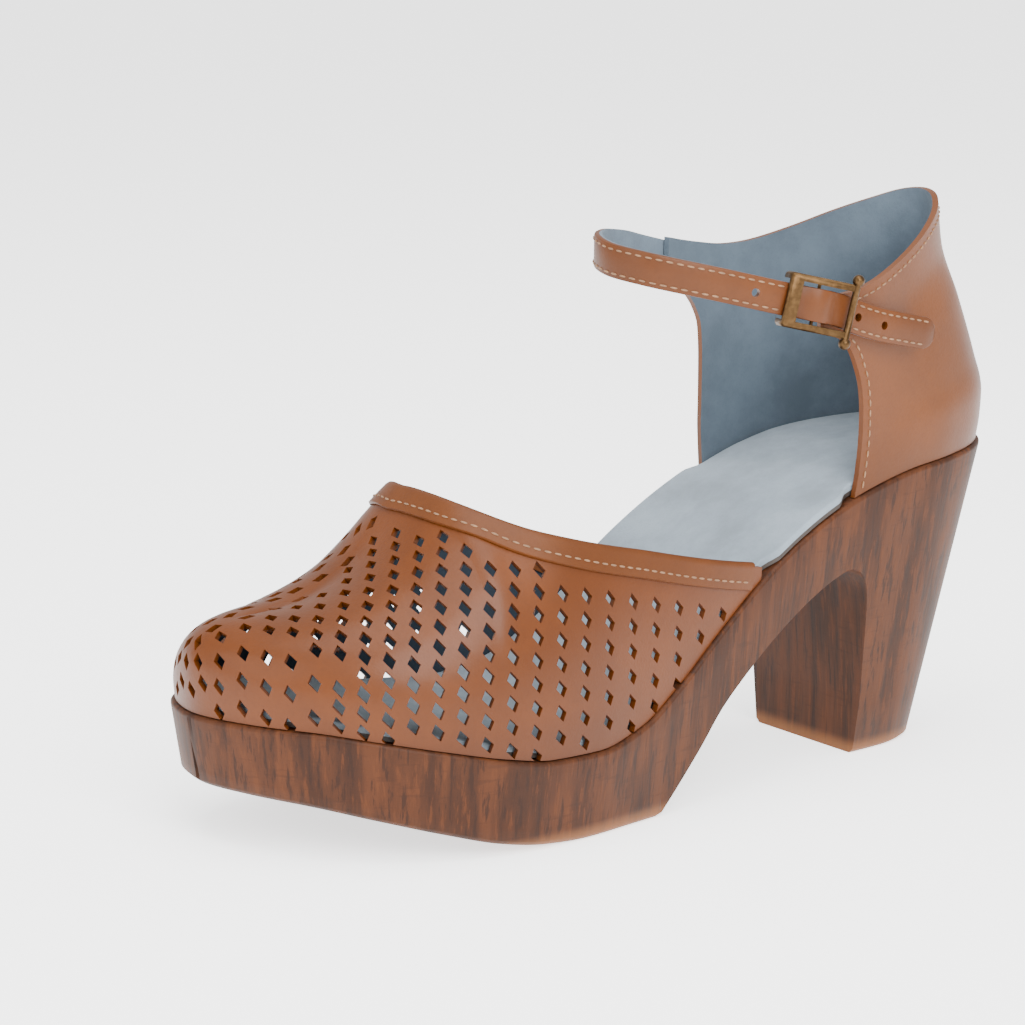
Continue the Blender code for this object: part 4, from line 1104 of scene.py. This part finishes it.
def suede_material(name, colour):
    material = Material(name)
    cloud = material.noise(60.0, 5.0, 0.65)
    nap = material.noise(1600.0, 2.0, 0.7)
    base = cloud.ramp(0.3, 0.7).mix(shade(colour, 0.84), shade(colour, 1.14))
    base = (nap.ramp(0.5, 0.8) * 0.30).mix(base, shade(colour, 0.70))
    material.feed(Base_Color=base, Roughness=0.86, Sheen_Weight=0.08, Sheen_Roughness=0.5,
                  Specular_IOR_Level=0.15)
    material.bump(nap, 0.35, 0.00025)
    return material.data


def plain_material(name, colour, roughness, metallic=0.0):
    material = Material(name)
    cloud = material.noise(700.0, 3.0, 0.6)
    base = cloud.ramp(0.35, 0.7).mix(shade(colour, 0.72), shade(colour, 1.12))
    material.feed(Base_Color=base, Roughness=roughness + 0.18 * cloud, Metallic=metallic)
    material.bump(cloud, 0.15, 0.0001)
    return material.data


class ClogSettings(bpy.types.PropertyGroup):
    """Sizes and colours of the shoe's details."""

    stitch_pitch: bpy.props.FloatProperty(
        name="Stitch pitch", description="Distance from one stitch to the next",
        default=0.0027, unit="LENGTH")
    stitch_length: bpy.props.FloatProperty(
        name="Stitch length", description="Length of the thread that shows in a stitch",
        default=0.0019, unit="LENGTH")
    stitch_width: bpy.props.FloatProperty(
        name="Stitch width", description="Thickness of the sewing thread",
        default=0.00055, unit="LENGTH")
    edge_seam: bpy.props.FloatProperty(
        name="Seam to edge", description="Distance of the counter's seams from its edges",
        default=0.0024, unit="LENGTH")
    strap_seam: bpy.props.FloatProperty(
        name="Strap seam to edge", description="Distance of the strap's seams from its edges",
        default=0.0012, unit="LENGTH")
    strap_lining: bpy.props.FloatProperty(
        name="Strap lining", description="Share of the strap's thickness that is lining",
        default=0.35, subtype="FACTOR")
    back_seam: bpy.props.FloatProperty(
        name="Back seam", description="Height of the seam at the counter's back",
        default=0.24, subtype="FACTOR")
    wood_colour: bpy.props.FloatVectorProperty(
        name="Wood", description="Middle colour of the stained wood",
        default=(0.046, 0.0130, 0.0030), subtype="COLOR")
    vamp_colour: bpy.props.FloatVectorProperty(
        name="Vamp", description="Colour of the perforated calf",
        default=(0.092, 0.0215, 0.0008), subtype="COLOR")
    counter_colour: bpy.props.FloatVectorProperty(
        name="Counter", description="Colour of the counter's calf",
        default=(0.108, 0.0275, 0.0016), subtype="COLOR")
    strap_colour: bpy.props.FloatVectorProperty(
        name="Strap", description="Colour of the strap and the folded strip",
        default=(0.090, 0.0235, 0.0022), subtype="COLOR")
    lining_colour: bpy.props.FloatVectorProperty(
        name="Lining", description="Colour of the suede inside the counter",
        default=(0.078, 0.103, 0.130), subtype="COLOR")
    # The vamp's suede lining: the blue-grey of the counter's lining made about three times darker,
    # as painted shade for the inside of the vamp.
    vamp_lining_shaded_colour: bpy.props.FloatVectorProperty(
        name="Vamp lining", description="Colour of the suede inside the vamp",
        default=(0.022, 0.032, 0.044), subtype="COLOR")
    insole_colour: bpy.props.FloatVectorProperty(
        name="Insole", description="Colour of the insole",
        default=(0.195, 0.232, 0.265), subtype="COLOR")
    thread_colour: bpy.props.FloatVectorProperty(
        name="Thread", description="Colour of the sewing thread",
        default=(0.22, 0.115, 0.055), subtype="COLOR")
    brass_colour: bpy.props.FloatVectorProperty(
        name="Brass", description="Colour of the aged brass",
        default=(0.085, 0.047, 0.020), subtype="COLOR")
    floor_colour: bpy.props.FloatVectorProperty(
        name="Floor", description="Colour of the studio floor",
        default=(0.95, 0.95, 0.95), subtype="COLOR")


def thread(settings):
    found = bpy.data.materials.get("thread")
    return found or plain_material("thread", settings.thread_colour, 0.6)


class CLOG_OT_sole(bpy.types.Operator):
    """Carve the wooden sole with its heel and arch"""

    bl_idname = "clog.sole"
    bl_label = "Wooden sole"

    def execute(self, context):
        settings = context.scene.clog_settings
        rings = []
        for share in station_shares():
            ring = []
            for side in (1, -1):
                edge = edge_at(side, share, 0.0)
                foot = foot_point(side, share)
                top = wood_top(edge[0])
                tread = wood_tread(foot[0])
                round_share = TOP_EDGE_ROUND / (top - tread)
                half = []
                for k in range(5):
                    angle = math.pi / 2 * k / 4
                    inset = TOP_EDGE_ROUND * (1 - math.sin(angle))
                    point = edge_at(side, share, inset)
                    down = TOP_EDGE_ROUND * (1 - math.cos(angle))
                    x, y = point + (foot - edge) * round_share * down / TOP_EDGE_ROUND
                    half.append((x, y, top - down))
                for k in range(1, 6):
                    x, y = edge + (foot - edge) * (round_share + (1 - 2 * round_share) * k / 6)
                    half.append((x, y, top + (tread - top) * (
                        round_share + (1 - 2 * round_share) * k / 6)))
                low = foot + (edge - foot) * round_share
                half.append((low[0], low[1], tread + TOP_EDGE_ROUND))
                inner = foot + edge_at(side, share, TOP_EDGE_ROUND) - edge
                half.append((inner[0], inner[1], tread))
                ring += half if side == 1 else half[::-1]
            rings.append(ring)
        sole = finish_object("sole_wood", tube(rings), [wood_material(settings)], 32)
        outline = smooth_line([(x * SOLE_LENGTH, z * SEAT_HEIGHT) for x, z in ARCH[1:-1]], steps=6)
        outline = [ARCH_FOOT[0], *outline, ARCH_FOOT[1]]
        cutter = tube([[(x, y, z) for x, z in outline] for y in (-BALL_WIDTH, BALL_WIDTH)])
        cut_away(sole, finish_object("arch", cutter, []), 58)
        enter(sole, "wood", "wood_sole")
        return {"FINISHED"}


class CLOG_OT_insole(bpy.types.Operator):
    """Lay the insole with its dark cut edge"""

    bl_idname = "clog.insole"
    bl_label = "Insole"

    def execute(self, context):
        settings = context.scene.clog_settings
        rings = []
        for share in station_shares()[1:-1]:
            ring = []
            for side in (1, -1):
                x = edge_at(side, share, 0.0)[0]
                inset = insole_inset(side, x)
                edge = edge_at(side, share, inset)
                low = wood_top(edge[0]) + INSOLE_LIFT
                half = []
                for k in range(4):
                    angle = math.pi / 2 * k / 3
                    inner = edge_at(side, share, inset + INSOLE_ROUND * (1 - math.sin(angle)))
                    height = low + INSOLE_THICKNESS - INSOLE_ROUND * (1 - math.cos(angle))
                    half.append((inner[0], inner[1], height))
                half.append((edge[0], edge[1], low + 0.4 * INSOLE_THICKNESS))
                half.append((edge[0], edge[1], low))
                ring += half if side == 1 else half[::-1]
            rings.append(ring)
        dark = {4, 5, 6}
        bm = tube(rings, lambda column, row: 1 if row in dark else 0)
        edge_paint = plain_material("insole_edge", (0.035, 0.025, 0.02), 0.6)
        insole = finish_object(
            "insole_sock", bm, [suede_material("insole", settings.insole_colour), edge_paint], 50)
        enter(insole, "insole_leather", "insole")
        return {"FINISHED"}


def vamp_face(columns, rows):
    """Open outer face of the vamp as a bmesh."""
    bm = bmesh.new()
    for side in (1, -1):
        shares = vamp_columns(side, columns)
        rises = rise_shares(rows)
        surface(bm, len(shares) - 1, rows,
                lambda c, r: Vector(vamp_point(side, shares[c], rises[r])))
    bmesh.ops.remove_doubles(bm, verts=bm.verts, dist=0.00002)
    bmesh.ops.recalc_face_normals(bm, faces=bm.faces)
    bm.normal_update()
    top = max(bm.faces, key=lambda f: f.calc_center_median().z)
    if top.normal.z < 0:
        bmesh.ops.reverse_faces(bm, faces=bm.faces)
    return bm


def vamp_foot_darkening(material):
    """Darker towards the bottom of the vamp, where it meets the wood."""
    return material.axis(2).ramp(0.036, 0.028) * 0.25


def filled_places(tree, places):
    """The perforations, with more of them where the toe would stay bare."""
    kept = np.array([centre for centre, along, normal in places])
    spots = []
    for side, start in ((1, FILL_OUTER_X), (-1, FILL_INNER_X)):
        for share in np.arange(share_at_x(side, start), 1.0, 0.004):
            spots += [vamp_point(side, share, rise) for rise in np.arange(0.06, 0.95, 0.03)]
    spots = np.array([tuple(spot) for spot in spots])
    nearest = np.min(np.linalg.norm(spots[:, None] - kept[None], axis=2), axis=1)
    while True:
        open_spots = np.where(nearest > FILL_SPACING)[0]
        if not len(open_spots):
            return places
        spot = spots[open_spots[np.argmin(nearest[open_spots])]]
        centre, normal = tree.find_nearest(Vector(spot))[:2]
        along = Vector((0.0, 0.0, -1.0)).cross(normal).normalized()
        places.append((centre, along, normal))
        nearest = np.minimum(nearest, np.linalg.norm(spots - spot, axis=1))


class CLOG_OT_vamp(bpy.types.Operator):
    """Make the perforated vamp with its lining"""

    bl_idname = "clog.vamp"
    bl_label = "Vamp"

    def execute(self, context):
        settings = context.scene.clog_settings
        face = vamp_face(VAMP_COLUMNS, VAMP_ROWS)
        tree = BVHTree.FromBMesh(face)
        top_line = top_edge_line(VAMP_COLUMNS)
        leather = leather_material("vamp_calf", settings.vamp_colour, vamp_foot_darkening, 0.38, 0.10)
        # The lining inside the vamp takes the darker colour, painted shade for the inside of the
        # vamp.
        lining = suede_material("vamp_suede_shaded", settings.vamp_lining_shaded_colour)
        vamp = finish_object("vamp_leather", face, [leather, lining])
        thicken(vamp, LEATHER, 1)
        settle(vamp)
        pins = bmesh.new()
        for centre, along, normal in filled_places(tree, perforation_places(tree, 1)):
            if distance_to_line(np.array(centre), top_line) < STRIP_WIDTH + HOLE_LONG / 2:
                continue
            made = bmesh.ops.create_cone(pins, cap_ends=True, segments=4, radius1=1.0,
                                         radius2=1.0, depth=6 * LEATHER)
            down = normal.cross(along)
            heelward = -along if normal.y > -0.25 else along
            turn = Matrix((
                along * HOLE_SHORT / 2,
                (down * (1 if down.z < 0 else -1) + heelward * HOLE_SLANT) * HOLE_LONG / 2,
                normal,
            )).transposed().to_4x4()
            turn.translation = centre
            bmesh.ops.transform(pins, matrix=turn, verts=made["verts"])
        if not pins.verts:
            raise RuntimeError("The vamp has no perforations.")
        bmesh.ops.recalc_face_normals(pins, faces=pins.faces)
        faces_before = len(vamp.data.polygons)
        cut_away(vamp, finish_object("pins", pins, []), overlapping=True)
        if len(vamp.data.polygons) < faces_before:
            raise RuntimeError("The perforations have cut too much of the vamp away.")
        enter(vamp, "vamp_leather", "vamp")
        return {"FINISHED"}


def evened(rings, i, reach):
    """A ring moved to the mean of its neighbours on both sides."""
    reach = min(reach, i, len(rings) - 1 - i)
    near = rings[i - reach:i + reach + 1]
    return [sum((ring[k] for ring in near), Vector()) / len(near) for k in range(len(rings[i]))]


class CLOG_OT_binding(bpy.types.Operator):
    """Fold the strip over the vamp's top edge and sew it"""

    bl_idname = "clog.binding"
    bl_label = "Folded strip"

    def execute(self, context):
        settings = context.scene.clog_settings
        face = vamp_face(VAMP_COLUMNS, VAMP_ROWS)
        tree = BVHTree.FromBMesh(face)
        face.free()
        line = even_line(top_edge_line(VAMP_COLUMNS), STRIP_STEP)
        high = STRIP_GAP + STRIP_THICKNESS
        crest = STRIP_INNER_GAP + STRIP_THICKNESS
        rings = []
        seam = []
        skip = int(STRIP_END_SKIP / STRIP_STEP)
        found = []
        for i in range(skip, len(line) - skip):
            run = Vector(line[min(i + 2, len(line) - 1)] - line[i - 2]).normalized()
            edge, normal = tree.find_nearest(Vector(line[i]))[:2]
            away = normal.cross(run).normalized()
            if away.dot(tree.find_nearest(edge - Vector((0, 0, STRIP_WIDTH)))[0] - edge) < 0:
                away.negate()
            found.append((edge, normal, away))
        for i, (edge, _, _) in enumerate(found):
            near = found[max(i - 5, 0):i + 6]
            normal = sum((entry[1] for entry in near), Vector()).normalized()
            away = sum((entry[2] for entry in near), Vector()).normalized()
            width = STRIP_WIDTH
            for _ in range(8):
                low, low_normal = tree.find_nearest(edge + away * width)[:2]
                if low.z > wood_top(low.x) + FIT_GAP + 0.0008:
                    break
                width *= 0.8
            outside = []
            for share in (0.0, 0.04, 0.3, 0.6, 0.9):
                place, out = tree.find_nearest(low.lerp(edge, share))[:2]
                rise = high * (0.55 if share == 0.0 else 1.0)
                outside.append(place + out * rise)
            turn = []
            span = LEATHER + high
            for k in range(7):
                angle = math.pi * k / 6
                off = (math.cos(angle) - 1) / 2 * span + high
                turn.append(edge + normal * off - away * crest * math.sin(angle) ** 0.6)
            inner, inner_normal = tree.find_nearest(low.lerp(edge, 0.55))[:2]
            rings.append([
                low + low_normal * STRIP_GAP,
                *outside,
                *turn,
                inner - inner_normal * (LEATHER + high * 0.5),
                inner - inner_normal * (LEATHER + 0.00008),
                edge - normal * (LEATHER + 0.00008),
                edge + normal * STRIP_GAP - away * 0.0001,
            ])
            place, out = tree.find_nearest(low.lerp(edge, 0.36))[:2]
            seam.append(np.array(place + out * high))
        rings = [evened(rings, i, 3) for i in range(len(rings))]
        seam = [sum(seam[max(i - 3, 0):i + 4]) / len(seam[max(i - 3, 0):i + 4])
                for i in range(len(seam))]
        bm = tube(rings)
        strip_tree = BVHTree.FromBMesh(bm)
        paint = leather_material("strip_calf", settings.strap_colour, None, 0.42, 0.06)
        strip = finish_object("strip_leather", bm, [paint], 60)
        enter(strip, "strip_leather", "vamp_binding")
        stitches = bmesh.new()
        sew(stitches, np.array(seam), strip_tree, settings)
        row = finish_object("strip_stitches", stitches, [thread(settings)])
        enter(row, "thread")
        return {"FINISHED"}


def counter_seams(settings):
    """Lines of the counter's seams: along the top edge and down the two front edges."""
    top = []
    for side in (1, -1):
        half = []
        for k in range(81):
            reach = counter_reach(side, 0.97) * (1 - k / 80)
            high = counter_point(side, reach, 1.0)
            base = counter_point(side, reach, 0.0)
            rise = 1 - settings.edge_seam / (high[2] - base[2])
            half.append(counter_point(side, reach, rise))
        top += half if side == 1 else half[::-1][1:]
    lines = [np.array(top)]
    for side in (1, -1):
        front = []
        for k in range(61):
            rise = 0.02 + 0.79 * k / 60
            target = counter_front_x(side, rise) - settings.edge_seam
            low, high = 0.2, 1.0
            for _ in range(22):
                middle = (low + high) / 2
                if counter_point(side, middle, rise)[0] < target:
                    low = middle
                else:
                    high = middle
            front.append(counter_point(side, low, rise))
        lines.append(np.array(front))
    back = [counter_point(1, 0.006, settings.back_seam * k / 12) for k in range(1, 13)]
    lines.append(np.array(back))
    return lines


def counter_foot_back_darkening(material):
    """Darker along the counter's foot and up the lower part of its back, in uneven patches."""
    foot = material.axis(2).ramp(0.094, 0.074)
    back = material.axis(0).ramp(-0.100, -0.121) * material.axis(2).ramp(0.132, 0.098)
    cloud = material.noise(30.0, 3.0, 0.6)
    return (foot * 0.45 + back * 0.55) * (0.5 + cloud)


class CLOG_OT_counter(bpy.types.Operator):
    """Make the closed heel counter with its lining and seams"""

    bl_idname = "clog.counter"
    bl_label = "Heel counter"

    def execute(self, context):
        settings = context.scene.clog_settings
        rises = counter_rises(COUNTER_ROWS)
        half = COUNTER_COLUMNS // 2
        rows = []
        for rise in rises:
            outer = counter_reach(1, rise)
            inner = counter_reach(-1, rise)
            row = [counter_point(1, outer * (1 - i / half), rise) for i in range(half)]
            row += [counter_point(-1, inner * i / half, rise) for i in range(half + 1)]
            rows.append(row)
        bm = bmesh.new()
        surface(bm, 2 * half, len(rows) - 1, lambda c, r: Vector(rows[r][c]))
        bmesh.ops.recalc_face_normals(bm, faces=bm.faces)
        bm.normal_update()
        rearmost = min(bm.faces, key=lambda f: f.calc_center_median().x)
        if rearmost.normal.x > 0:
            bmesh.ops.reverse_faces(bm, faces=bm.faces)
        tree = BVHTree.FromBMesh(bm)
        leather = leather_material("counter_leather", settings.counter_colour, counter_foot_back_darkening,
                                   0.38, 0.10)
        lining = suede_material("counter_suede", settings.lining_colour)
        counter = finish_object("counter_wall", bm, [leather, lining], 60)
        thicken(counter, LEATHER, 1)
        settle(counter, 60)
        for face in counter.data.polygons:
            place = face.center + Vector(BOX_MIDDLE)
            if place.y < 0 and place.z > STRAP_END_Z and face.normal.x > 0.6:
                face.material_index = 1
        enter(counter, "counter_leather", "heel_counter")
        stitches = bmesh.new()
        for line in counter_seams(settings):
            sew(stitches, line, tree, settings)
        row = finish_object("counter_stitches", stitches, [thread(settings)])
        enter(row, "thread")
        return {"FINISHED"}


class CLOG_OT_strap(bpy.types.Operator):
    """Make the ankle strap with its lining, holes and seams"""

    bl_idname = "clog.strap"
    bl_label = "Ankle strap"

    def execute(self, context):
        settings = context.scene.clog_settings
        line = StrapLine()
        places = list(np.arange(0.0, line.total - STRAP_TIP_LENGTH, STRAP_STEP))
        places += [line.total - STRAP_TIP_LENGTH * (1 - math.sin(math.pi / 2 * k / 10))
                   for k in range(11)]
        half = STRAP_THICKNESS / 2
        bevel = STRAP_THICKNESS * 0.22
        split = -half + settings.strap_lining * STRAP_THICKNESS
        rings = []
        for along in places:
            width = strap_half_width(line, along)
            rise = strap_rise(line, along)
            cut = min(bevel, width * 0.5)
            corners = [
                (width - cut, -half), (width, -half + cut * 0.5), (width, split),
                (width, half - cut), (width - 0.3 * cut, half - 0.3 * cut), (width - cut, half),
                (cut - width, half), (0.3 * cut - width, half - 0.3 * cut), (-width, half - cut),
                (-width, split), (-width, -half + cut * 0.5), (cut - width, -half),
            ]
            rings.append([line.place(along, across, rise + off) for across, off in corners])
        lining_rows = {0, 1, 9, 10, 11}
        bm = tube(rings, lambda column, row: 1 if row in lining_rows else 0)
        tree = BVHTree.FromBMesh(bm)
        leather = leather_material("strap_leather", settings.strap_colour, None, 0.42, 0.08)
        lining = suede_material("strap_suede", shade(settings.lining_colour, 1.25)[:3])
        strap = finish_object("strap_band", bm, [leather, lining], 50)
        punches = bmesh.new()
        for k in range(-2, STRAP_HOLE_COUNT - 2):
            if k == 0:
                continue
            along = line.buckle + STRAP_HOLE_PITCH * k + (0.002 if k < 0 else 0.003)
            out = Vector(line.frame(along)[2])
            made = bmesh.ops.create_cone(
                punches, cap_ends=True, segments=20, radius1=STRAP_HOLE, radius2=STRAP_HOLE,
                depth=4 * STRAP_THICKNESS)
            turn = out.to_track_quat("Z", "Y").to_matrix().to_4x4()
            turn.translation = Vector(line.place(along, 0.0, 0.0))
            bmesh.ops.transform(punches, matrix=turn, verts=made["verts"])
        cut_away(strap, finish_object("punches", punches, []))
        enter(strap, "strap_leather", "ankle_strap")
        stitches = bmesh.new()
        for sign in (1, -1):
            seam = []
            for along in np.arange(settings.strap_seam, line.total - STRAP_TIP_LENGTH * 0.6,
                                   STRAP_STEP):
                if abs(along - line.buckle) < BUCKLE_LENGTH * 0.42:
                    if seam:
                        sew(stitches, np.array(seam), tree, settings)
                    seam = []
                    continue
                width = STRAP_WIDTH / 2 - settings.strap_seam
                seam.append(line.place(along, sign * width, strap_rise(line, along) + half))
            sew(stitches, np.array(seam), tree, settings)
        end = [line.place(settings.strap_seam + place, (share - 0.5) * 0.7 * STRAP_WIDTH, half)
               for place in (0.0, 0.016) for share in (0.0, 0.25, 0.5, 0.75, 1.0)]
        sew(stitches, np.array(end[:5]), tree, settings)
        sew(stitches, np.array(end[5:]), tree, settings)
        row = finish_object("strap_stitches", stitches, [thread(settings)])
        enter(row, "thread")
        return {"FINISHED"}


class CLOG_OT_buckle(bpy.types.Operator):
    """Finish the brass buckle and its leather tab"""

    bl_idname = "clog.buckle"
    bl_label = "Buckle"

    def execute(self, context):
        settings = context.scene.clog_settings
        brass = plain_material("aged_brass", settings.brass_colour, 0.30, 1.0)
        leather = leather_material("tab_leather", settings.strap_colour, None, 0.34, 0.25)
        for node, name, paint, slot in (
            ("buckle_frame", "buckle_brass", brass, "brass"),
            ("buckle_tab", "buckle_leather", leather, "strap_leather"),
        ):
            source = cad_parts[node]
            bm = bmesh.new()
            bm.from_mesh(source.data)
            bmesh.ops.transform(bm, matrix=source.matrix_world, verts=bm.verts)
            bmesh.ops.remove_doubles(bm, verts=bm.verts, dist=0.000005)
            bmesh.ops.translate(bm, verts=bm.verts, vec=Vector(BOX_MIDDLE))
            for face in bm.faces:
                face.material_index = 0
            piece = finish_object(name, bm, [paint], 40)
            enter(piece, slot, node)
        return {"FINISHED"}


class CLOG_OT_stage(bpy.types.Operator):
    """Set the floor, the soft lights and the camera"""

    bl_idname = "clog.stage"
    bl_label = "Stage"

    def execute(self, context):
        settings = context.scene.clog_settings
        scene = context.scene
        floor = bmesh.new()
        bmesh.ops.create_grid(floor, x_segments=1, y_segments=1, size=30.0)
        mesh = bpy.data.meshes.new("floor")
        floor.to_mesh(mesh)
        floor.free()
        material = Material("floor_paper")
        material.feed(Base_Color=(*settings.floor_colour, 1.0), Roughness=0.9,
                      Specular_IOR_Level=0.0, Emission_Color=(1.0, 1.0, 1.0, 1.0),
                      Emission_Strength=FLOOR_GLOW)
        mesh.materials.append(material.data)
        ground = bpy.data.objects.new("floor", mesh)
        scene.collection.objects.link(ground)
        world = bpy.data.worlds.new("studio")
        world.use_nodes = True
        world.node_tree.nodes["Background"].inputs["Color"].default_value = (1.0, 1.0, 1.0, 1.0)
        world.node_tree.nodes["Background"].inputs["Strength"].default_value = WORLD_STRENGTH
        scene.world = world
        for name, azimuth, elevation, distance, size, power in LIGHTS:
            light = bpy.data.lights.new(name, "AREA")
            light.shape = "DISK"
            light.size = size
            light.energy = power
            lamp = bpy.data.objects.new(name, light)
            scene.collection.objects.link(lamp)
            away = view_direction(azimuth, elevation)
            lamp.location = away * distance + Vector((0.0, 0.0, 0.06))
            lamp.rotation_euler = away.to_track_quat("Z", "Y").to_euler()
        away = view_direction(CAMERA_AZIMUTH, CAMERA_ELEVATION)
        turn = math.radians(CAMERA_AZIMUTH)
        right = Vector((math.cos(turn), math.sin(turn), 0.0))
        up = away.cross(right)
        roll = math.radians(CAMERA_ROLL)
        across = right * math.cos(roll) + up * math.sin(roll)
        upward = up * math.cos(roll) - right * math.sin(roll)
        placed = Matrix((across, upward, away)).transposed().to_4x4()
        placed.translation = to_object_frame(CAMERA_TARGET) + away * CAMERA_DISTANCE
        data = bpy.data.cameras.new("camera")
        data.lens = CAMERA_LENS
        data.sensor_width = 36.0
        data.clip_start = 0.01
        camera = bpy.data.objects.new("camera", data)
        scene.collection.objects.link(camera)
        camera.matrix_world = placed
        scene.camera = camera
        return {"FINISHED"}


def view_direction(azimuth, elevation):
    """Unit vector from the shoe towards a place, azimuth 0 at -Y and 90 at +X."""
    turn, rise = math.radians(azimuth), math.radians(elevation)
    return Vector((
        math.sin(turn) * math.cos(rise), -math.cos(turn) * math.cos(rise), math.sin(rise)))


class CLOG_PT_panel(bpy.types.Panel):
    """Panel with the clog's sizes, colours and steps"""

    bl_label = "Clog"
    bl_idname = "CLOG_PT_panel"
    bl_space_type = "VIEW_3D"
    bl_region_type = "UI"
    bl_category = "Clog"

    def draw(self, context):
        layout = self.layout
        for name in ClogSettings.__annotations__:
            layout.prop(context.scene.clog_settings, name)
        for operator in OPERATORS:
            layout.operator(operator.bl_idname)


OPERATORS = (
    CLOG_OT_sole,
    CLOG_OT_insole,
    CLOG_OT_vamp,
    CLOG_OT_binding,
    CLOG_OT_counter,
    CLOG_OT_strap,
    CLOG_OT_buckle,
    CLOG_OT_stage,
)


def register():
    for kind in (ClogSettings, *OPERATORS, CLOG_PT_panel):
        bpy.utils.register_class(kind)
    bpy.types.Scene.clog_settings = bpy.props.PointerProperty(type=ClogSettings)


def unregister():
    del bpy.types.Scene.clog_settings
    for kind in reversed((ClogSettings, *OPERATORS, CLOG_PT_panel)):
        bpy.utils.unregister_class(kind)


def main():
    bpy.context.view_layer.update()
    register()
    bpy.ops.clog.sole()
    bpy.ops.clog.insole()
    bpy.ops.clog.vamp()
    bpy.ops.clog.binding()
    bpy.ops.clog.counter()
    bpy.ops.clog.strap()
    bpy.ops.clog.buckle()
    bpy.ops.clog.stage()


if __name__ == "__main__":
    main()
